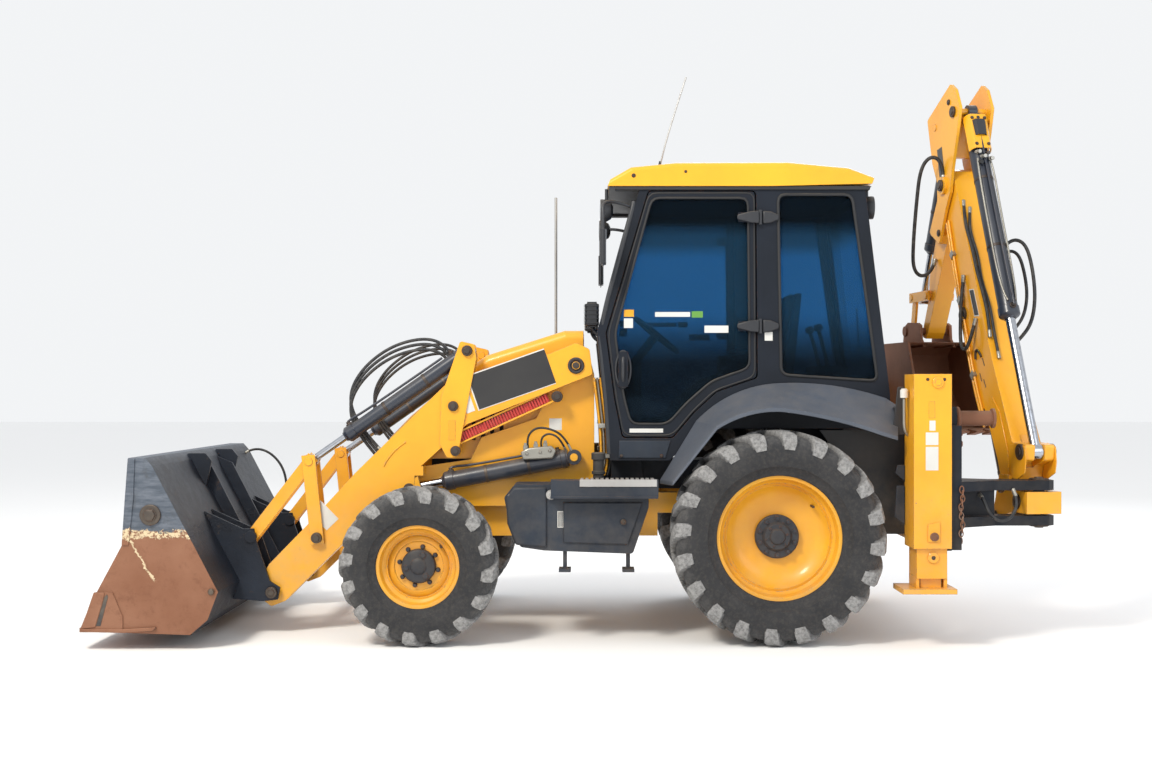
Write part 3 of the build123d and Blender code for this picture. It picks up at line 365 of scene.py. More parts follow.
# ---------------------------------------------------------------- rims and hubs
# Pressed steel rims welded to a dished centre, sprayed yellow. The rear pair bolts to the hub's
# dark cast flange with ten nuts; the front pair shows a grey hub disc with three cast recesses.
rim_yellow = weathered("rim_yellow", hue(0.8, 0.4, 0.015), hue(0.66, 0.28, 0.01), PRIMER, 0.38,
                       chips=0.3, dust=0.2, dirt_top=1.0, coat=0.2)
hub_grey = weathered("hub_grey", hue(0.032, 0.038, 0.05), hue(0.02, 0.022, 0.028), RUST, 0.5,
                     chips=0.3, dust=0.12, dirt_top=1.0, shine=0.35)


def hexagon_heads(shape, places, outward, across, tall, washer=1.35):
    """Adds hexagon bolt heads on washers, each standing outward from its place."""
    outward = Vector(outward).normalized()
    aim = outward.to_track_quat("Z", "Y").to_matrix().to_4x4()
    for number, place in enumerate(places):
        sit = Matrix.Translation(place) @ aim @ Matrix.Rotation(number * 0.7, 4, "Z")
        for sides, wide, low, high in ((20, washer * across / 2, 0.0, 0.25 * tall),
                                       (6, across / 1.732, 0.2 * tall, tall)):
            ring = []
            for r, z in ((wide, low), (wide, high * 0.86), (wide * 0.86, high)):
                ring.append([shape.verts.new(sit @ Vector((r * math.cos(2 * math.pi * k / sides),
                                                            r * math.sin(2 * math.pi * k / sides), z)))
                             for k in range(sides)])
            for here, after in zip(ring, ring[1:]):
                for k in range(sides):
                    follow = (k + 1) % sides
                    shape.faces.new((here[k], here[follow], after[follow], after[k]))
            shape.faces.new(ring[0])
            shape.faces.new(ring[-1])


def ring_of(centre, side, out, radius, count, start=0.0):
    """Places evenly round a wheel's axle, out from its middle plane."""
    return [centre + Vector((radius * math.sin(start + 2 * math.pi * k / count), side * out,
                             radius * math.cos(start + 2 * math.pi * k / count))) for k in range(count)]


for name, side, lugs, lug_height, bead in WHEELS:
    centre, radius, half = wheel_sizes(name)
    rear = name.startswith("rear")
    lip = half * 0.7
    inner = bead - 0.03
    dish = half * (0.3 if rear else 0.28)
    flange = 0.15 if rear else 0.125
    face = -0.01 if rear else 0.03
    shape = bmesh.new()
    barrel = [
        (-lip, bead - 0.026), (-lip, bead + 0.01), (-lip + 0.006, bead + 0.017), (-lip + 0.014, bead + 0.012),
        (-lip + 0.018, bead - 0.004), (-lip * 0.62, inner + 0.018), (-lip * 0.45, inner - 0.004),
        (lip * 0.4, inner - 0.004), (lip * 0.56, inner + 0.018), (lip - 0.018, bead - 0.004),
        (lip - 0.014, bead + 0.012), (lip - 0.006, bead + 0.017), (lip, bead + 0.01), (lip, bead - 0.014),
        (lip - 0.005, bead - 0.018), (lip - 0.02, bead - 0.02), (lip * 0.6, inner + 0.004),
        (lip * 0.44, inner - 0.018), (-lip * 0.48, inner - 0.018), (-lip * 0.66, inner + 0.004),
        (-lip + 0.02, bead - 0.02),
    ]
    turn_ring(shape, barrel, centre, side, 96)
    middle = (flange + inner) / 2
    disc = [
        (dish + 0.006, inner - 0.012), (dish + 0.012, inner - 0.03), (dish * 0.55, middle + 0.035),
        (face + 0.016, middle - 0.02), (face + 0.008, flange + 0.02), (face + 0.008, flange - 0.055),
        (face - 0.004, flange - 0.055), (face - 0.004, flange + 0.022), (face + 0.003, middle - 0.014),
        (dish * 0.55 - 0.014, middle + 0.042), (dish - 0.004, inner - 0.026), (dish - 0.006, inner - 0.012),
    ]
    turn_ring(shape, disc, centre, side, 96)
    rim = from_bmesh("rim_pressed_" + name, shape)
    settle(rim, "wheel_" + name, rim_yellow, 28)
    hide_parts("rim_" + name)

    shape = bmesh.new()
    if rear:
        hub_line = [(-0.09, 0.02), (-0.09, 0.128), (0.008, 0.134), (0.03, 0.134), (0.036, 0.126),
                    (0.038, 0.092), (0.052, 0.082), (0.058, 0.076), (0.06, 0.05), (0.07, 0.042),
                    (0.074, 0.03), (0.074, 0.0005), (-0.09, 0.0005)]
        turn_ring(shape, hub_line, centre, side, 64)
        hexagon_heads(shape, ring_of(centre, side, 0.03, 0.112, 10), (0, side, 0), 0.024, 0.022)
        hexagon_heads(shape, ring_of(centre, side, 0.057, 0.062, 6, 0.3), (0, side, 0), 0.012, 0.008)
    else:
        hub_line = [(-0.05, 0.02), (-0.05, 0.098), (0.034, 0.104), (0.06, 0.104), (0.072, 0.098),
                    (0.078, 0.086), (0.078, 0.05), (0.084, 0.044), (0.09, 0.03), (0.09, 0.0005),
                    (-0.05, 0.0005)]
        turn_ring(shape, hub_line, centre, side, 64)
        for spoke in range(3):
            turn = 0.4 + spoke * 2 * math.pi / 3
            # a raised cast rib between two recesses
            hexagon_heads(shape, [centre + Vector((0.073 * math.sin(turn), side * 0.076,
                                                   0.073 * math.cos(turn)))], (0, side, 0), 0.03, 0.012)
        hexagon_heads(shape, ring_of(centre, side, 0.04, 0.118, 8, 0.2), (0, side, 0), 0.022, 0.02)
    hub = from_bmesh("hub_" + name, shape)
    settle(hub, "wheel_" + name, hub_grey, 30)

    shape = bmesh.new()
    valve = centre + Vector((0.6 * inner, side * (dish * 0.55 + 0.01), 0.55 * inner))
    hexagon_heads(shape, [valve], (0.2, side, -0.1), 0.014, 0.045, 1.1)
    settle(from_bmesh("tyre_valve_" + name, shape), "wheel_" + name, pin_steel, 30)

# ---------------------------------------------------------------- loader shovel
# The shovel is bent from thick plate with a hardened cutting edge and side cutters welded on. Its
# sides have lost their paint: bare steel above a chipped cream band, brown rust below. The back
# keeps its dark paint.
AXLE = wheel_sizes("rear_left")[0]


def at(back, across, up):
    """A point of the machine, in metres: behind the rear axle, across and up."""
    return Vector((AXLE.x + back, across, up))


shovel_low, shovel_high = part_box("loader_bucket")
shovel_wear = bpy.data.materials.new("shovel_wear")
shovel_wear.use_nodes = True
wear_tree = shovel_wear.node_tree
wear_shader = wear_tree.nodes["Principled BSDF"]
wear_spot = wire(wear_tree, "TexCoord")
wear_place = wear_spot.outputs["Object"]
wear_parts = wire(wear_tree, "SeparateXYZ", Vector=wear_place)
wear_facing = wire(wear_tree, "SeparateXYZ", Vector=wear_spot.outputs["Normal"])
wear_cloud = noise(wear_tree, wear_place, 2.2, 5.0)
wear_patch = noise(wear_tree, wear_place, 14.0, 8.0, 0.72)
wear_fleck = noise(wear_tree, wear_place, 70.0, 5.0, 0.7)
scratch_place = wire(wear_tree, "Mapping", Vector=wear_place, Rotation=(0, 1.25, 0),
                     Scale=(9, 30, 46)).outputs[0]
wear_scratch = noise(wear_tree, scratch_place, 1.0, 5.0, 0.6)
bare_steel = blend_colours(wear_tree, step_up(wear_tree, wear_scratch, 0.35, 0.65),
                           hue(0.065, 0.082, 0.108), hue(0.135, 0.155, 0.19))
bare_steel = blend_colours(wear_tree, step_up(wear_tree, wear_patch, 0.55, 0.7), bare_steel,
                           hue(0.075, 0.085, 0.1))
brown = blend_colours(wear_tree, step_up(wear_tree, wear_cloud, 0.35, 0.65), hue(0.21, 0.085, 0.042),
                      hue(0.27, 0.125, 0.07))
brown = blend_colours(wear_tree, step_up(wear_tree, wear_patch, 0.52, 0.75), brown, hue(0.17, 0.065, 0.032))
wavy = maths(wear_tree, "MULTIPLY", maths(wear_tree, "SUBTRACT", wear_patch, 0.5), 0.16)
line = maths(wear_tree, "ADD", wear_parts.outputs["Z"], wavy)
tide = shovel_low.z + 0.594 * (shovel_high.z - shovel_low.z)
above = step_up(wear_tree, line, tide - 0.004, tide + 0.004)
near_band = wire(wear_tree, "Math", {"operation": "COMPARE"}, i0=line, i1=tide - 0.022, i2=0.026).outputs[0]
cream = maths(wear_tree, "MULTIPLY", near_band, step_up(wear_tree, wear_fleck, 0.44, 0.5))
# a scrape runs slantwise down from the band, where a load has rubbed
scrape_reach = maths(wear_tree, "ADD", maths(wear_tree, "MULTIPLY", wear_parts.outputs["X"], 0.853),
                     maths(wear_tree, "MULTIPLY", line, 0.521))
scrape_at = (AXLE.x - 3.855) * 0.853 + 0.643 * 0.521
scrape = wire(wear_tree, "Math", {"operation": "COMPARE"}, i0=scrape_reach, i1=scrape_at, i2=0.007).outputs[0]
scrape = maths(wear_tree, "MULTIPLY", scrape, step_up(wear_tree, wear_parts.outputs["Z"], 0.4, 0.43))
scrape = maths(wear_tree, "MULTIPLY", scrape, step_up(wear_tree, wear_parts.outputs["Z"], 0.7, 0.66))
scrape = maths(wear_tree, "MULTIPLY", scrape, step_up(wear_tree, wear_fleck, 0.38, 0.46))
cream = maths(wear_tree, "MAXIMUM", cream, scrape)
side_colour = blend_colours(wear_tree, above, brown, bare_steel)
side_colour = blend_colours(wear_tree, cream, side_colour, hue(0.66, 0.53, 0.34))
dark_coat = blend_colours(wear_tree, step_up(wear_tree, wear_cloud, 0.35, 0.7), hue(0.006, 0.008, 0.014),
                          hue(0.014, 0.021, 0.036))
dark_coat = blend_colours(wear_tree, step_up(wear_tree, wear_patch, 0.6, 0.66), dark_coat,
                          hue(0.035, 0.028, 0.028))
sideways = wire(wear_tree, "Math", {"operation": "ABSOLUTE"}, i0=wear_facing.outputs["Y"]).outputs[0]
outer_reach = wire(wear_tree, "Math", {"operation": "ABSOLUTE"}, i0=wear_parts.outputs["Y"]).outputs[0]
is_side = maths(wear_tree, "MULTIPLY", step_up(wear_tree, sideways, 0.5, 0.6),
                step_up(wear_tree, outer_reach, 1.1, 1.12))
facing_back = step_up(wear_tree, wear_facing.outputs["X"], 0.05, 0.15)
lugs_and_back = maths(wear_tree, "MAXIMUM", facing_back, step_up(wear_tree, outer_reach, 1.1, 1.08))
behind = step_up(wear_tree, wear_parts.outputs["X"], shovel_low.x + 0.36, shovel_low.x + 0.42)
dark_side = maths(wear_tree, "MULTIPLY", maths(wear_tree, "MULTIPLY", lugs_and_back, behind),
                  maths(wear_tree, "SUBTRACT", 1.0, is_side))
shovel_colour = blend_colours(wear_tree, dark_side, side_colour, dark_coat)
wear_tree.links.new(shovel_colour, wear_shader.inputs["Base Color"])
wear_shader.inputs["Metallic"].default_value = 0.25
wear_rough = maths(wear_tree, "ADD", maths(wear_tree, "MULTIPLY", wear_patch, 0.35), 0.34)
wear_tree.links.new(wear_rough, wear_shader.inputs["Roughness"])
wear_relief = maths(wear_tree, "ADD", wear_patch, maths(wear_tree, "MULTIPLY", wear_fleck, 0.4))
wear_relief = maths(wear_tree, "ADD", wear_relief, maths(wear_tree, "MULTIPLY", cream, 0.5))
wear_edge = wire(wear_tree, "Bevel", {"samples": 4}, Radius=0.004).outputs[0]
wear_tree.links.new(wire(wear_tree, "Bump", Height=wear_relief, Distance=0.003, Strength=0.8,
                         Normal=wear_edge).outputs[0], wear_shader.inputs["Normal"])
finish_node("loader_bucket", shovel_wear)

rusty_steel = weathered("rusty_steel", hue(0.27, 0.12, 0.065), hue(0.16, 0.065, 0.035),
                        hue(0.34, 0.32, 0.3), 0.72, metal=0.2, chips=0.25, dust=0.3, grain=0.0022)
finish_node("digger_bucket", rusty_steel)


def put_bolts(name, body, places, outward, across, tall, material=None, washer=1.35):
    """A set of hexagon heads as one piece."""
    shape = bmesh.new()
    hexagon_heads(shape, places, outward, across, tall, washer)
    return settle(from_bmesh(name, shape), body, material or pin_steel, 30)


def turned(name, profile, centre, outward, body, material, segments=40, smooth_under=30):
    """A turned piece: the profile reads (outward from the centre, radius), closed on the axis."""
    shape = bmesh.new()
    turn_ring(shape, profile, Vector((0, 0, 0)), 1, segments)
    made = from_bmesh(name, shape)
    made.data.transform(Matrix.Translation(centre)
                        @ Vector(outward).to_track_quat("Y", "Z").to_matrix().to_4x4())
    return settle(made, body, material, smooth_under)


def pin_head(name, body, centre, outward, radius, tall, material=None):
    """A pin's end: a chamfered collar with a bolted keeper disc on it."""
    turned(name, [(-0.004, 0.0005), (-0.004, radius), (tall * 0.55, radius), (tall * 0.72, radius * 0.92),
                  (tall * 0.72, radius * 0.6), (tall, radius * 0.56), (tall, 0.0005)],
           centre, outward, body, material or pin_steel)


def plate(name, outline, low, high, body, material, soft=0.003):
    """A flat plate in the fore-and-aft plane, with a small rounded edge; the outline is in frame x and z."""
    shape = bmesh.new()
    near = [shape.verts.new((point[0], low, point[1])) for point in outline]
    far = [shape.verts.new((point[0], high, point[1])) for point in outline]
    shape.faces.new(near)
    shape.faces.new(list(reversed(far)))
    for here in range(len(outline)):
        follow = (here + 1) % len(outline)
        shape.faces.new((near[here], far[here], far[follow], near[follow]))
    made = from_bmesh(name, shape)
    if soft:
        rounded = made.modifiers.new("rounded edge", "BEVEL")
        rounded.width = soft
        rounded.segments = 2
        rounded.limit_method = "ANGLE"
        rounded.angle_limit = math.radians(25)
    return settle(made, body, material, 30)


def back(point):
    """A point behind the rear axle, as frame x and z."""
    return (AXLE.x + point[0], point[1])


for side, name in ((-1, "left"), (1, "right")):
    wall = side * shovel_high.y
    put_bolts("shovel_bolt_big_" + name, "loader_bucket", [at(-3.737, wall + side * 0.007, 0.802)],
              (0, side, 0), 0.06, 0.017, washer=1.3)
    put_bolts("shovel_bolt_small_" + name, "loader_bucket", [at(-3.3765, wall, 0.347)],
              (0, side, 0), 0.03, 0.012)


def round_bar(name, points, radius, body, material, sides=12, smooth=True):
    """A bar, pipe or rod bent through its points, as a curve with a round section."""
    curve = bpy.data.curves.new(name, "CURVE")
    curve.dimensions = "3D"
    curve.bevel_depth = radius
    curve.bevel_resolution = max(1, sides // 4)
    curve.use_fill_caps = True
    kind = "NURBS" if smooth and len(points) > 2 else "POLY"
    spline = curve.splines.new(kind)
    spline.points.add(len(points) - 1)
    for point, place in zip(spline.points, points):
        point.co = (*place, 1)
    if kind == "NURBS":
        spline.order_u = 3
        spline.use_endpoint_u = True
    curve.resolution_u = 10
    return settle(show(name, curve), body, material)


# side cutters along the front edges, a wear ledge under each side and a rounded ear at the top
for side, name in ((-1, "left"), (1, "right")):
    wall = side * (shovel_high.y - 0.008)
    turned_out = side * shovel_high.y
    cutter = [back(p) for p in ((-4.15, 0.128), (-4.112, 0.222), (-4.07, 0.345), (-4.005, 0.345),
                                (-4.012, 0.3), (-4.06, 0.138))]
    plate("side_cutter_" + name, cutter, *sorted((wall, turned_out + side * 0.006)), "loader_bucket",
          shovel_wear, 0.004)
    # the cutter's slot is a flat dark plate: painted shade for the gap
    slot_shade_outline = [back(p) for p in ((-4.062, 0.145), (-4.022, 0.3), (-3.992, 0.335), (-3.985, 0.318),
                                      (-4.03, 0.145))]
    plate("cutter_slot_shade_" + name, slot_shade_outline, *sorted((wall, turned_out + side * 0.001)), "loader_bucket",
          cast_dark, 0)
    ledge = [back(p) for p in ((-4.15, 0.112), (-3.9, 0.106), (-3.72, 0.118), (-3.7, 0.14),
                               (-3.9, 0.128), (-4.15, 0.13))]
    plate("wear_ledge_" + name, ledge, *sorted((wall, turned_out + side * 0.01)), "loader_bucket",
          shovel_wear, 0.003)
    turned("shovel_washer_" + name, [(-0.006, 0.0005), (-0.006, 0.062), (0.004, 0.062), (0.007, 0.058),
                                     (0.007, 0.0005)], at(-3.737, turned_out, 0.802), (0, side, 0),
           "loader_bucket", pin_steel)
    pin_head("shovel_ear_pin_" + name, "loader_bucket", at(-3.795, side * 1.06, 1.105), (0, side, 0), 0.03,
             0.026)

# the weld runs where the shovel's hooks, lugs and wear strip meet the shell
weld_steel = weathered("weld_steel", hue(0.07, 0.07, 0.075), hue(0.14, 0.08, 0.05), RUST, 0.6, metal=0.3)
for side, name in ((-1, "left"), (1, "right")):
    edge = side * (shovel_high.y - 0.02)
    round_bar("shovel_weld_" + name, [at(-4.06, edge, 0.13), at(-3.9, edge, 0.112), at(-3.62, edge, 0.118)],
              0.006, "loader_bucket", weld_steel, 8)

# ---------------------------------------------------------------- loader arms
# Each arm is a box of yellow plate, its knee a heavier plate with three pins. The pins have dark
# heads held by a bolt, and the tower pivot a wide ring. A blank dark plate lies along the rear arm.
def quad(first, second, rise):
    """The four corners of a slanted plate: its lower edge from first to second, and its height."""
    a, b = Vector(first), Vector(second)
    along = (b - a).normalized()
    up = Vector((-along.y, along.x)) * rise
    return [tuple(a), tuple(b), tuple(b + up), tuple(a + up)]


ARM_OUT = 0.62
KNEE_OUT = 0.634
PIN_PLACES = (
    # name, behind the axle, up, stands out from, radius, height
    ("knee_top", -1.912, 1.789, KNEE_OUT, 0.034, 0.03),
    ("knee_middle", -2.0, 1.44, KNEE_OUT, 0.032, 0.026),
    ("knee_bottom", -1.985, 1.158, KNEE_OUT, 0.032, 0.026),
    ("lift_rod", -2.28, 0.919, ARM_OUT, 0.034, 0.022),
    ("shovel", -3.137, 0.271, ARM_OUT + 0.055, 0.036, 0.022),
    ("lever_foot", -2.858, 0.611, ARM_OUT + 0.03, 0.034, 0.026),
)
for side, name in ((-1, "left"), (1, "right")):
    for pin, x, z, out, radius, tall in PIN_PLACES:
        pin_head("pin_" + pin + "_" + name, "loader_arms", at(x, side * out, z), (0, side, 0), radius, tall)
    turned("tower_ring_" + name,
           [(-0.006, 0.026), (-0.006, 0.052), (0.008, 0.052), (0.014, 0.047), (0.014, 0.037),
            (0.005, 0.034), (0.005, 0.026)],
           at(-1.226, side * ARM_OUT, 1.696), (0, side, 0), "loader_arms", cast_dark, 48)
    turned("tower_pin_" + name,
           [(-0.01, 0.0005), (-0.01, 0.024), (0.012, 0.024), (0.016, 0.02), (0.016, 0.0005)],
           at(-1.226, side * (ARM_OUT + 0.004), 1.696), (0, side, 0), "chassis", pin_steel, 32)

sign_black = weathered("sign_black", hue(0.02, 0.02, 0.022), hue(0.035, 0.034, 0.033),
                       hue(0.3, 0.29, 0.27), 0.35, chips=0.1, dust=0.3, grain=0.0001, edge=0.001)
sign_white = weathered("sign_white", hue(0.7, 0.7, 0.67), hue(0.58, 0.56, 0.52), hue(0.2, 0.18, 0.16),
                       0.42, chips=0.15, dust=0.3, grain=0.0001, edge=0.001)
sign_green = weathered("sign_green", hue(0.12, 0.32, 0.05), hue(0.1, 0.24, 0.05), hue(0.6, 0.6, 0.55),
                       0.42, chips=0.1, dust=0.2, grain=0.0001, edge=0.001)
for side, name in ((-1, "left"), (1, "right")):
    face = sorted((side * ARM_OUT, side * (ARM_OUT + 0.0016)))
    plate("arm_sign_rim_" + name, quad(back((-1.842, 1.41)), back((-1.352, 1.582)), 0.235), *face,
          "loader_arms", sign_white, 0)
    face = sorted((side * (ARM_OUT + 0.0016), side * (ARM_OUT + 0.003)))
    plate("arm_sign_" + name, quad(back((-1.836, 1.418)), back((-1.352, 1.588)), 0.222), *face,
          "loader_arms", sign_black, 0)
    face = sorted((side * ARM_OUT, side * (ARM_OUT + 0.0016)))
    plate("arm_sticker_" + name, quad(back((-1.915, 1.392)), back((-1.862, 1.411)), 0.15), *face,
          "loader_arms", sign_white, 0)
    plate("arm_front_sticker_" + name, quad(back((-2.8, 0.655)), back((-2.725, 0.728)), 0.165), *face,
          "loader_arms", sign_white, 0)
    face = sorted((side * KNEE_OUT, side * (KNEE_OUT + 0.0012)))
    plate("knee_sticker_" + name, quad(back((-2.028, 1.225)), back((-1.985, 1.225)), 0.125), *face,
          "loader_arms", rim_yellow, 0)
    # a curved stiffener on the arm's lower web
    round_bar("arm_rib_" + name,
              [at(-2.44, side * (ARM_OUT + 0.001), 1.06), at(-2.4, side * (ARM_OUT + 0.001), 1.15),
               at(-2.3, side * (ARM_OUT + 0.001), 1.215)], 0.006, "loader_arms", yellow_paint, 8)

# ---------------------------------------------------------------- lift-ram safety strut
# The red strut that props a raised arm. It is a ribbed plastic channel between yellow edges, and
# it is stowed under the rear arm on a wide-headed pin.
strut_red = weathered("strut_red", hue(0.62, 0.045, 0.035), hue(0.45, 0.04, 0.03), hue(0.5, 0.3, 0.25),
                      0.45, chips=0.1, dust=0.3, grain=0.0003)
STRUT_FROM = (-1.955, 1.205)
STRUT_TO = (-1.388, 1.462)
STRUT_WIDE = 0.07
for side, name in ((-1, "left"), (1, "right")):
    inner = side * 0.548
    outer = side * 0.606
    a, b = Vector(STRUT_FROM), Vector(STRUT_TO)
    along = (b - a).normalized()
    up = Vector((-along.y, along.x))
    for lift, edge in ((-0.006, "lower"), (STRUT_WIDE - 0.006, "upper")):
        foot = back(a - along * 0.03 + up * lift)
        head = back(b + along * 0.06 + up * lift)
        plate(f"strut_edge_{edge}_{name}", quad(foot, head, 0.012), *sorted((inner, outer)), "loader_arms",
              yellow_paint, 0.002)
    shape = bmesh.new()
    ribs = 34
    length = (b - a).length
    for rib in range(ribs):
        start = a + along * (length * rib / ribs)
        finish = a + along * (length * (rib + 0.55) / ribs)
        deep = 0.0 if rib % 17 not in (8, 9) else 0.01
        corners = quad(back(start + up * 0.007), back(finish + up * 0.007), STRUT_WIDE - 0.016)
        near = [shape.verts.new((x, inner + side * 0.006, z)) for x, z in corners]
        far = [shape.verts.new((x, outer - side * (0.004 + deep), z)) for x, z in corners]
        shape.faces.new(near)
        shape.faces.new(far)
        for k in range(4):
            shape.faces.new((near[k], near[(k + 1) % 4], far[(k + 1) % 4], far[k]))
    core = quad(back(a + up * 0.01), back(b + up * 0.01), STRUT_WIDE - 0.022)
    near = [shape.verts.new((x, inner + side * 0.004, z)) for x, z in core]
    far = [shape.verts.new((x, outer - side * 0.018, z)) for x, z in core]
    shape.faces.new(near)
    shape.faces.new(far)
    for k in range(4):
        shape.faces.new((near[k], near[(k + 1) % 4], far[(k + 1) % 4], far[k]))
    settle(from_bmesh("safety_strut_" + name, shape), "loader_arms", strut_red, 30)
    pin_head("strut_pin_" + name, "loader_arms", at(-1.345, outer, 1.5), (0, side, 0), 0.036, 0.03)

# ---------------------------------------------------------------- rams
# The double-acting rams: dark blue painted tube, a turned gland at its mouth with a wiper, and a
# chromed rod. Steel feed pipes lie along the tubes under clamps.
ram_blue = weathered("ram_blue", hue(0.014, 0.02, 0.036), hue(0.03, 0.036, 0.05), RUST, 0.34,
                     chips=0.25, dust=0.3, coat=0.2)
chrome_rod = bpy.data.materials.new("chrome_rod")
chrome_rod.use_nodes = True
chrome_tree = chrome_rod.node_tree
chrome = chrome_tree.nodes["Principled BSDF"]
chrome_place = wire(chrome_tree, "TexCoord").outputs["Object"]
chrome_film = noise(chrome_tree, chrome_place, 30.0, 4.0)
chrome_colour = blend_colours(chrome_tree, step_up(chrome_tree, chrome_film, 0.5, 0.8),
                              hue(0.44, 0.46, 0.5), hue(0.24, 0.24, 0.25))
chrome_tree.links.new(chrome_colour, chrome.inputs["Base Color"])
chrome.inputs["Metallic"].default_value = 1.0
chrome_rough = maths(chrome_tree, "ADD", maths(chrome_tree, "MULTIPLY", chrome_film, 0.25), 0.1)
chrome_tree.links.new(chrome_rough, chrome.inputs["Roughness"])
for ram in ("lift_ram", "tilt_ram"):
    finish_node(ram + "_barrels", ram_blue)
    finish_node(ram + "_rods", chrome_rod)
for ram in ("boom_ram", "dipper_ram", "bucket_ram"):
    finish_node(ram + "_barrel", ram_blue)
    finish_node(ram + "_rod", chrome_rod)

TURN_POINT = Vector((AXLE.x + 1.62, -0.86, 0))
FOLD = math.radians(99)
REACH = Vector((math.cos(FOLD), math.sin(FOLD), 0))
ASIDE = Vector((math.sin(FOLD), -math.cos(FOLD), 0))


def dig(out, up, aside=0.0):
    """A point of the folded digger, in metres: out from the slew pin, up, and to its side."""
    return TURN_POINT + REACH * out + ASIDE * aside + Vector((0, 0, up))


def dress_ram(name, body, foot, head, length, radius, side_way):
    """A gland, an end cap, port bosses and a clamped feed pipe on a ram's tube."""
    way = (head - foot).normalized()
    mouth = foot + way * length
    rod = radius * 0.5
    turned("gland_" + name, [(-0.055, radius * 0.98), (-0.055, radius + 0.006), (-0.004, radius + 0.006),
                             (0.004, radius), (0.01, radius * 0.86), (0.014, rod + 0.01),
                             (0.022, rod + 0.008), (0.022, rod + 0.002), (-0.02, rod + 0.002),
                             (-0.02, radius * 0.8)], mouth, way, body, ram_blue, 40)
    turned("ram_cap_" + name, [(-0.02, 0.01), (-0.02, radius * 0.8), (-0.008, radius + 0.005),
                               (0.022, radius + 0.005), (0.026, radius * 0.98), (0.026, 0.01)],
           foot + way * 0.06, way, body, ram_blue, 40)
    side_way = (side_way - way * side_way.dot(way)).normalized()
    low = foot + way * 0.095 + side_way * radius
    high = foot + way * (length - 0.045) + side_way * radius
    for port, at_port in (("foot", low), ("mouth", high)):
        turned(f"port_{port}_{name}", [(-0.012, 0.0005), (-0.012, 0.021), (0.01, 0.021), (0.013, 0.018),
                                       (0.013, 0.012), (0.026, 0.012), (0.026, 0.0005)],
               at_port, side_way, body, pin_steel, 24)
    lift = side_way * 0.026
    round_bar("feed_pipe_" + name,
              [high + lift * 0.9, high + lift * 1.1 - way * 0.05, high + lift * 0.7 - way * 0.1,
               foot + way * 0.3 + side_way * (radius + 0.013),
               foot + way * 0.16 + side_way * (radius + 0.013)],
              0.008, body, ram_blue, 8)
    for share in (0.35, 0.68):
        turned(f"pipe_clamp_{int(share * 100)}_{name}",
               [(-0.009, radius * 0.97), (-0.009, radius + 0.0022), (0.009, radius + 0.0022),
                (0.009, radius * 0.97)], foot + way * (length * share), way, body, pin_steel, 40)


UP = Vector((0, 0, 1))
for side, name in ((-1, "left"), (1, "right")):
    arm_y = side * 0.57
    dress_ram("lift_" + name, "lift_ram_barrels", at(-1.239, arm_y, 1.116), at(-2.28, arm_y, 0.919), 0.83,
              0.055, UP)
    dress_ram("tilt_" + name, "tilt_ram_barrels", at(-1.912, arm_y, 1.789), at(-2.909, arm_y, 1.09), 0.93,
              0.046, UP)

# ---------------------------------------------------------------- cab glass
# Toughened, tinted panes bonded into the cab frame, with dust along their lower edges. Black rubber
# seals run round the door panes and the quarter windows.
tinted_glass = bpy.data.materials.new("tinted_glass")
tinted_glass.use_nodes = True
glass_tree = tinted_glass.node_tree
glass = glass_tree.nodes["Principled BSDF"]
glass_spot = wire(glass_tree, "TexCoord").outputs["Object"]
glass_height = wire(glass_tree, "SeparateXYZ", Vector=glass_spot).outputs["Z"]
glass_smear = noise(glass_tree, glass_spot, 3.0, 6.0, 0.65, 0.6)
glass_speck = noise(glass_tree, glass_spot, 60.0, 4.0, 0.7)
glass_dust = maths(glass_tree, "MULTIPLY", step_up(glass_tree, glass_height, 2.0, 1.35),
                   step_up(glass_tree, glass_smear, 0.4, 0.75))
glass_dust = maths(glass_tree, "MULTIPLY", glass_dust, 0.22)
# the lower panes and a band under the roof are darkened: painted shade for the dark cab interior and the far
# frame seen through the glass
painted_shade_bands = maths(glass_tree, "ADD", step_up(glass_tree, glass_height, 2.02, 1.72),
               step_up(glass_tree, glass_height, 2.5, 2.6))
tint = blend_colours(glass_tree, painted_shade_bands, hue(0.085, 0.27, 0.47), hue(0.02, 0.05, 0.085))
glass_tree.links.new(blend_colours(glass_tree, glass_dust, tint, hue(0.06, 0.06, 0.06)),
                     glass.inputs["Base Color"])
glass_tree.links.new(maths(glass_tree, "SUBTRACT", 0.93, glass_dust), glass.inputs["Transmission Weight"])
glass_tree.links.new(maths(glass_tree, "ADD", maths(glass_tree, "MULTIPLY", glass_speck, 0.04), 0.01),
                     glass.inputs["Roughness"])
glass.inputs["IOR"].default_value = 1.12
glass.inputs["Specular IOR Level"].default_value = 0.9
for pane in ("cab_glass", "door_glass_left", "door_glass_right"):
    finish_node(pane, tinted_glass)

black_rubber = weathered("black_rubber", hue(0.014, 0.015, 0.017), hue(0.024, 0.024, 0.026),
                         hue(0.05, 0.05, 0.05), 0.62, chips=0.0, dust=0.3, grain=0.0003, edge=0.002)
black_plastic = weathered("black_plastic", hue(0.02, 0.022, 0.027), hue(0.036, 0.038, 0.044),
                          hue(0.09, 0.09, 0.09), 0.45, chips=0.1, dust=0.35, grain=0.0004, edge=0.003)


def rounded_loop(corners, radius):
    """The points of a closed outline whose corners are rounded."""
    points = []
    for here, corner in enumerate(corners):
        before = (corners[here - 1] - corner).normalized()
        after = (corners[(here + 1) % len(corners)] - corner).normalized()
        for share in (0.0, 0.33, 0.67, 1.0):
            start = corner + before * radius
            finish = corner + after * radius
            middle = start.lerp(corner, share).lerp(corner.lerp(finish, share), share)
            points.append(middle)
    return points


